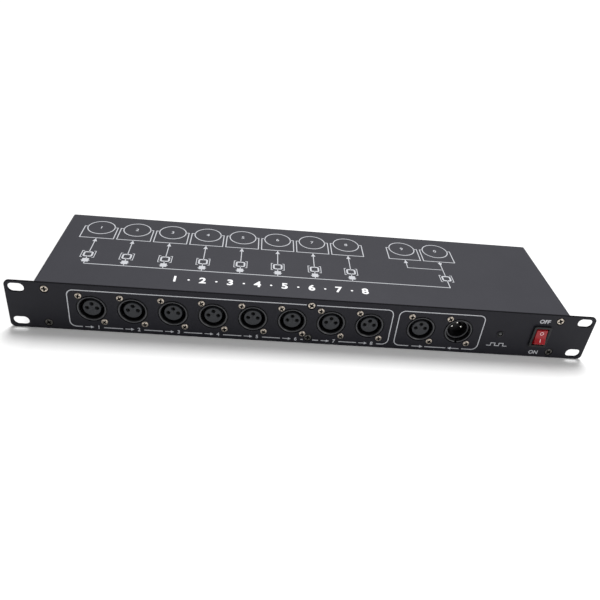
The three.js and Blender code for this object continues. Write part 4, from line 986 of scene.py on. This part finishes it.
# Mains inlet on the rear wall
# heights count backwards from the rear wall
INLET_BEVEL = 0.35
EAR_X, EAR_RADIUS, EAR_HOLE, EAR_REACH, EAR_STEPS = 20, 5, 3.6, math.pi / 3, 10
SHOULDER_X, SHOULDER_Y, CROWN_X, CROWN_Y = 14.6, 15.1, 13.8, 15.5
INLET_BODY = 27.4, 27.4, 2
CAVITY_HALF, CAVITY_LOW, CAVITY_HIGH, CAVITY_CUT, CAVITY_DEPTH = 12, -3.4, 12.6, 4.5, 14.0
INLET_FLOOR, INLET_PLUG, INLET_PLUG_FRONT = 3.4, 4.5, 17.5
BLADE_X, BLADE_Y, EARTH_Y = 7, 2.6, 6.6
BLADE_WIDTH, BLADE_HEIGHT, BLADE_CORNER, BLADE_BEVEL = 2.0, 4.0, 0.35, 0.45
BLADE_LENGTH, BLADE_FRONT, BLADE_FIT, SLIT_CORNER = 31.0, 2, 0.5, 0.2
DRAWER_HOLE = 23.4, 7.2, 0.3
DRAWER_DROP = 8.6


def inlet_outline():
    """Body plate with an ear at each side."""
    points = []
    for side in (0, 1):
        sign = 1 if side == 0 else -1
        points += arc(sign * EAR_X, 0, EAR_RADIUS, math.pi * side - EAR_REACH, 2 * EAR_REACH,
                      EAR_STEPS)
        points += [(sign * SHOULDER_X, sign * SHOULDER_Y), (sign * CROWN_X, sign * CROWN_Y),
                   (-sign * CROWN_X, sign * CROWN_Y), (-sign * SHOULDER_X, sign * SHOULDER_Y)]
    return points


cavity = [(-CAVITY_HALF, CAVITY_LOW), (CAVITY_HALF, CAVITY_LOW),
          (CAVITY_HALF, CAVITY_HIGH - CAVITY_CUT), (CAVITY_HALF - CAVITY_CUT, CAVITY_HIGH),
          (CAVITY_CUT - CAVITY_HALF, CAVITY_HIGH), (-CAVITY_HALF, CAVITY_HIGH - CAVITY_CUT)]
drawer_hole = rounded(0, -DRAWER_DROP, *DRAWER_HOLE, 2)
ear_holes = [circle(s * EAR_X, 0, EAR_HOLE, 32) for s in (-1, 1)]
blades = [(-BLADE_X, BLADE_Y), (BLADE_X, BLADE_Y), (0, EARTH_Y)]
slots = [rounded(x, y, BLADE_WIDTH + BLADE_FIT, BLADE_HEIGHT + BLADE_FIT, SLIT_CORNER, 2)
         for x, y in blades]
block = rounded(0, 0, *INLET_BODY)
inlet_mesh = joined(
    moved(plate([inlet_outline(), cavity, drawer_hole, *ear_holes], INLET_FLANGE, INLET_BEVEL, 3),
          z=INLET_FLANGE),
    plate([block, cavity, drawer_hole], CAVITY_DEPTH),
    moved(plate([block, drawer_hole, *slots], INLET_FLOOR), z=-CAVITY_DEPTH),
    moved(plate([block, *slots], INLET_PLUG, SMALL), z=-INLET_PLUG_FRONT),
)
piece("inlet_case", inlet_mesh, spot(INLET_X, REAR, ROW, FACING_BACK), (INLET,),
      nodes=["inlet_body"])
blade = plate([rounded(0, 0, BLADE_WIDTH, BLADE_HEIGHT, BLADE_CORNER, 3)], BLADE_LENGTH,
              BLADE_BEVEL, 3)
for side, (x, y) in zip(("neutral", "line", "earth"), blades):
    piece(f"inlet_pin_{side}", blade, spot(INLET_X - x, REAR + BLADE_FRONT, ROW + y, FACING_BACK),
          (BLADE,), nodes=[f"inlet_blade_{side}"])

# Fuse drawer: a face plate, a near and a far block, and a base between them under the fuse
DRAWER = 22.8, 6.6, 0.3
FACE_PLATE = 24.4, 8.2, 1.0
PLATE_THICKNESS, PLATE_FRONT, PLATE_BEVEL = 2.0, 5, 0.4
NEAR_LENGTH, NEAR_FRONT = 10.4, 3.2
FAR_LENGTH, FAR_FRONT = 2.4, 14.6
BASE = DRAWER[0], 1.0, 0.2
BASE_Y, BASE_LENGTH, BASE_FRONT = -2.8, 8.0, 7
GRIP = 9, 3, 0.6
GRIP_PROUD = 1
FUSE_HALF, FUSE_CAP, FUSE_RADIUS, GLASS_RADIUS = 10, 5, 2.4, 2.2

block = rounded(0, 0, *DRAWER, 2)
drawer_mesh = joined(
    moved(plate([rounded(0, 0, *FACE_PLATE)], PLATE_THICKNESS, PLATE_BEVEL, 3), z=PLATE_FRONT),
    moved(plate([block], NEAR_LENGTH), z=NEAR_FRONT),
    moved(plate([block], FAR_LENGTH), z=-FAR_FRONT),
    moved(plate([rounded(0, BASE_Y, *BASE, 2)], BASE_LENGTH), z=-BASE_FRONT),
)
grip = plate([rounded(0, 0, *GRIP, 4)], PLATE_THICKNESS, PLATE_BEVEL, 3)
drawer = cut(drawer_mesh, moved(grip, z=PLATE_FRONT + GRIP_PROUD))
piece("drawer_tray", drawer, spot(INLET_X, REAR, centre("fuse_drawer")[2], FACING_BACK),
      (INLET, INLET), body="fuse_carrier", nodes=["fuse_drawer"])
fuse = turned([(0, -FUSE_HALF), (FUSE_RADIUS, -FUSE_HALF), (FUSE_RADIUS, -FUSE_CAP),
               (GLASS_RADIUS, -FUSE_CAP), (GLASS_RADIUS, FUSE_CAP), (FUSE_RADIUS, FUSE_CAP),
               (FUSE_RADIUS, FUSE_HALF), (0, FUSE_HALF)], 32)
shade(fuse, 1, lambda face: abs(face.center.z) < FUSE_CAP - 0.01)
piece("fuse_tube", fuse, spot(*centre("fuse"), FACING_RIGHT), (CONTACT, FUSE_GLASS),
      body="fuse_carrier", nodes=["fuse"])

# Finishes of the CAD nodes that stay as they are
FINISH = {"chassis_tray": TRAY_COAT, "main_board": BOARD, "transformer_core": LAMINATE,
          "transformer_coil": TAPE, "heat_sink": ALUMINIUM, "regulator": INLET,
          "capacitor_large": SLEEVE, "capacitor_small": SLEEVE,
          **{f"standoff_{i + 1}": BRASS for i in range(4)}}
for name, look in FINISH.items():
    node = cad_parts[name]
    node.data.materials.clear()
    node.data.materials.append(look)

# Floor, light and camera, in metres, watts and degrees
FLOOR_SIZE, FLOOR_GAP = 15.0, 0.0003
WORLD_STRENGTH = 0.38
SUN_STRENGTH, SUN_ANGLE, SUN_FROM = 2.9, 32, (0.06, 0.42, 0.90)
LAMP_PLACE, LAMP_AIM, LAMP_SIZE, LAMP_POWER = (0.85, -1.0, 0.8), (0.15, -0.05, 0.02), (0.5, 0.4), 5
# the camera comes from a fit to points measured in the photograph
CAMERA_LENS, CAMERA_SENSOR, CAMERA_CLIP = 37.11, 36, (0.01, 20)
CAMERA_PLACE, CAMERA_ANGLES = (-0.04987, -0.47481, 0.31745), (56.406, -5.6327, -1.8355)

form = bmesh.new()
bmesh.ops.create_grid(form, x_segments=1, y_segments=1, size=FLOOR_SIZE)
floor_mesh = bpy.data.meshes.new("floor")
form.to_mesh(floor_mesh)
form.free()
floor_mesh.materials.append(FLOOR)
floor = in_scene("floor", floor_mesh)
floor.location.z = cad_low.z - FLOOR_GAP

world = bpy.data.worlds.new("studio")
world.use_nodes = True
world.node_tree.nodes["Background"].inputs["Color"].default_value = (1, 1, 1, 1)
world.node_tree.nodes["Background"].inputs["Strength"].default_value = WORLD_STRENGTH
bpy.context.scene.world = world
bpy.context.scene.view_settings.view_transform = "Standard"


def light(name, kind, energy, way):
    """A light that shines from the given direction."""
    made = in_scene(name, bpy.data.lights.new(name, kind))
    made.data.energy = energy
    made.rotation_euler = way.to_track_quat("Z", "Y").to_euler()
    return made


sky = light("sky", "SUN", SUN_STRENGTH, Vector(SUN_FROM))
sky.data.angle = math.radians(SUN_ANGLE)
front = light("front", "AREA", LAMP_POWER, Vector(LAMP_PLACE) - Vector(LAMP_AIM))
front.location = LAMP_PLACE
front.data.shape = "RECTANGLE"
front.data.size, front.data.size_y = LAMP_SIZE

camera_data = bpy.data.cameras.new("camera")
camera_data.lens = CAMERA_LENS
camera_data.sensor_width = CAMERA_SENSOR
camera_data.clip_start, camera_data.clip_end = CAMERA_CLIP
camera = in_scene("camera", camera_data)
camera.location = CAMERA_PLACE
camera.rotation_euler = [math.radians(angle) for angle in CAMERA_ANGLES]
bpy.context.scene.camera = camera
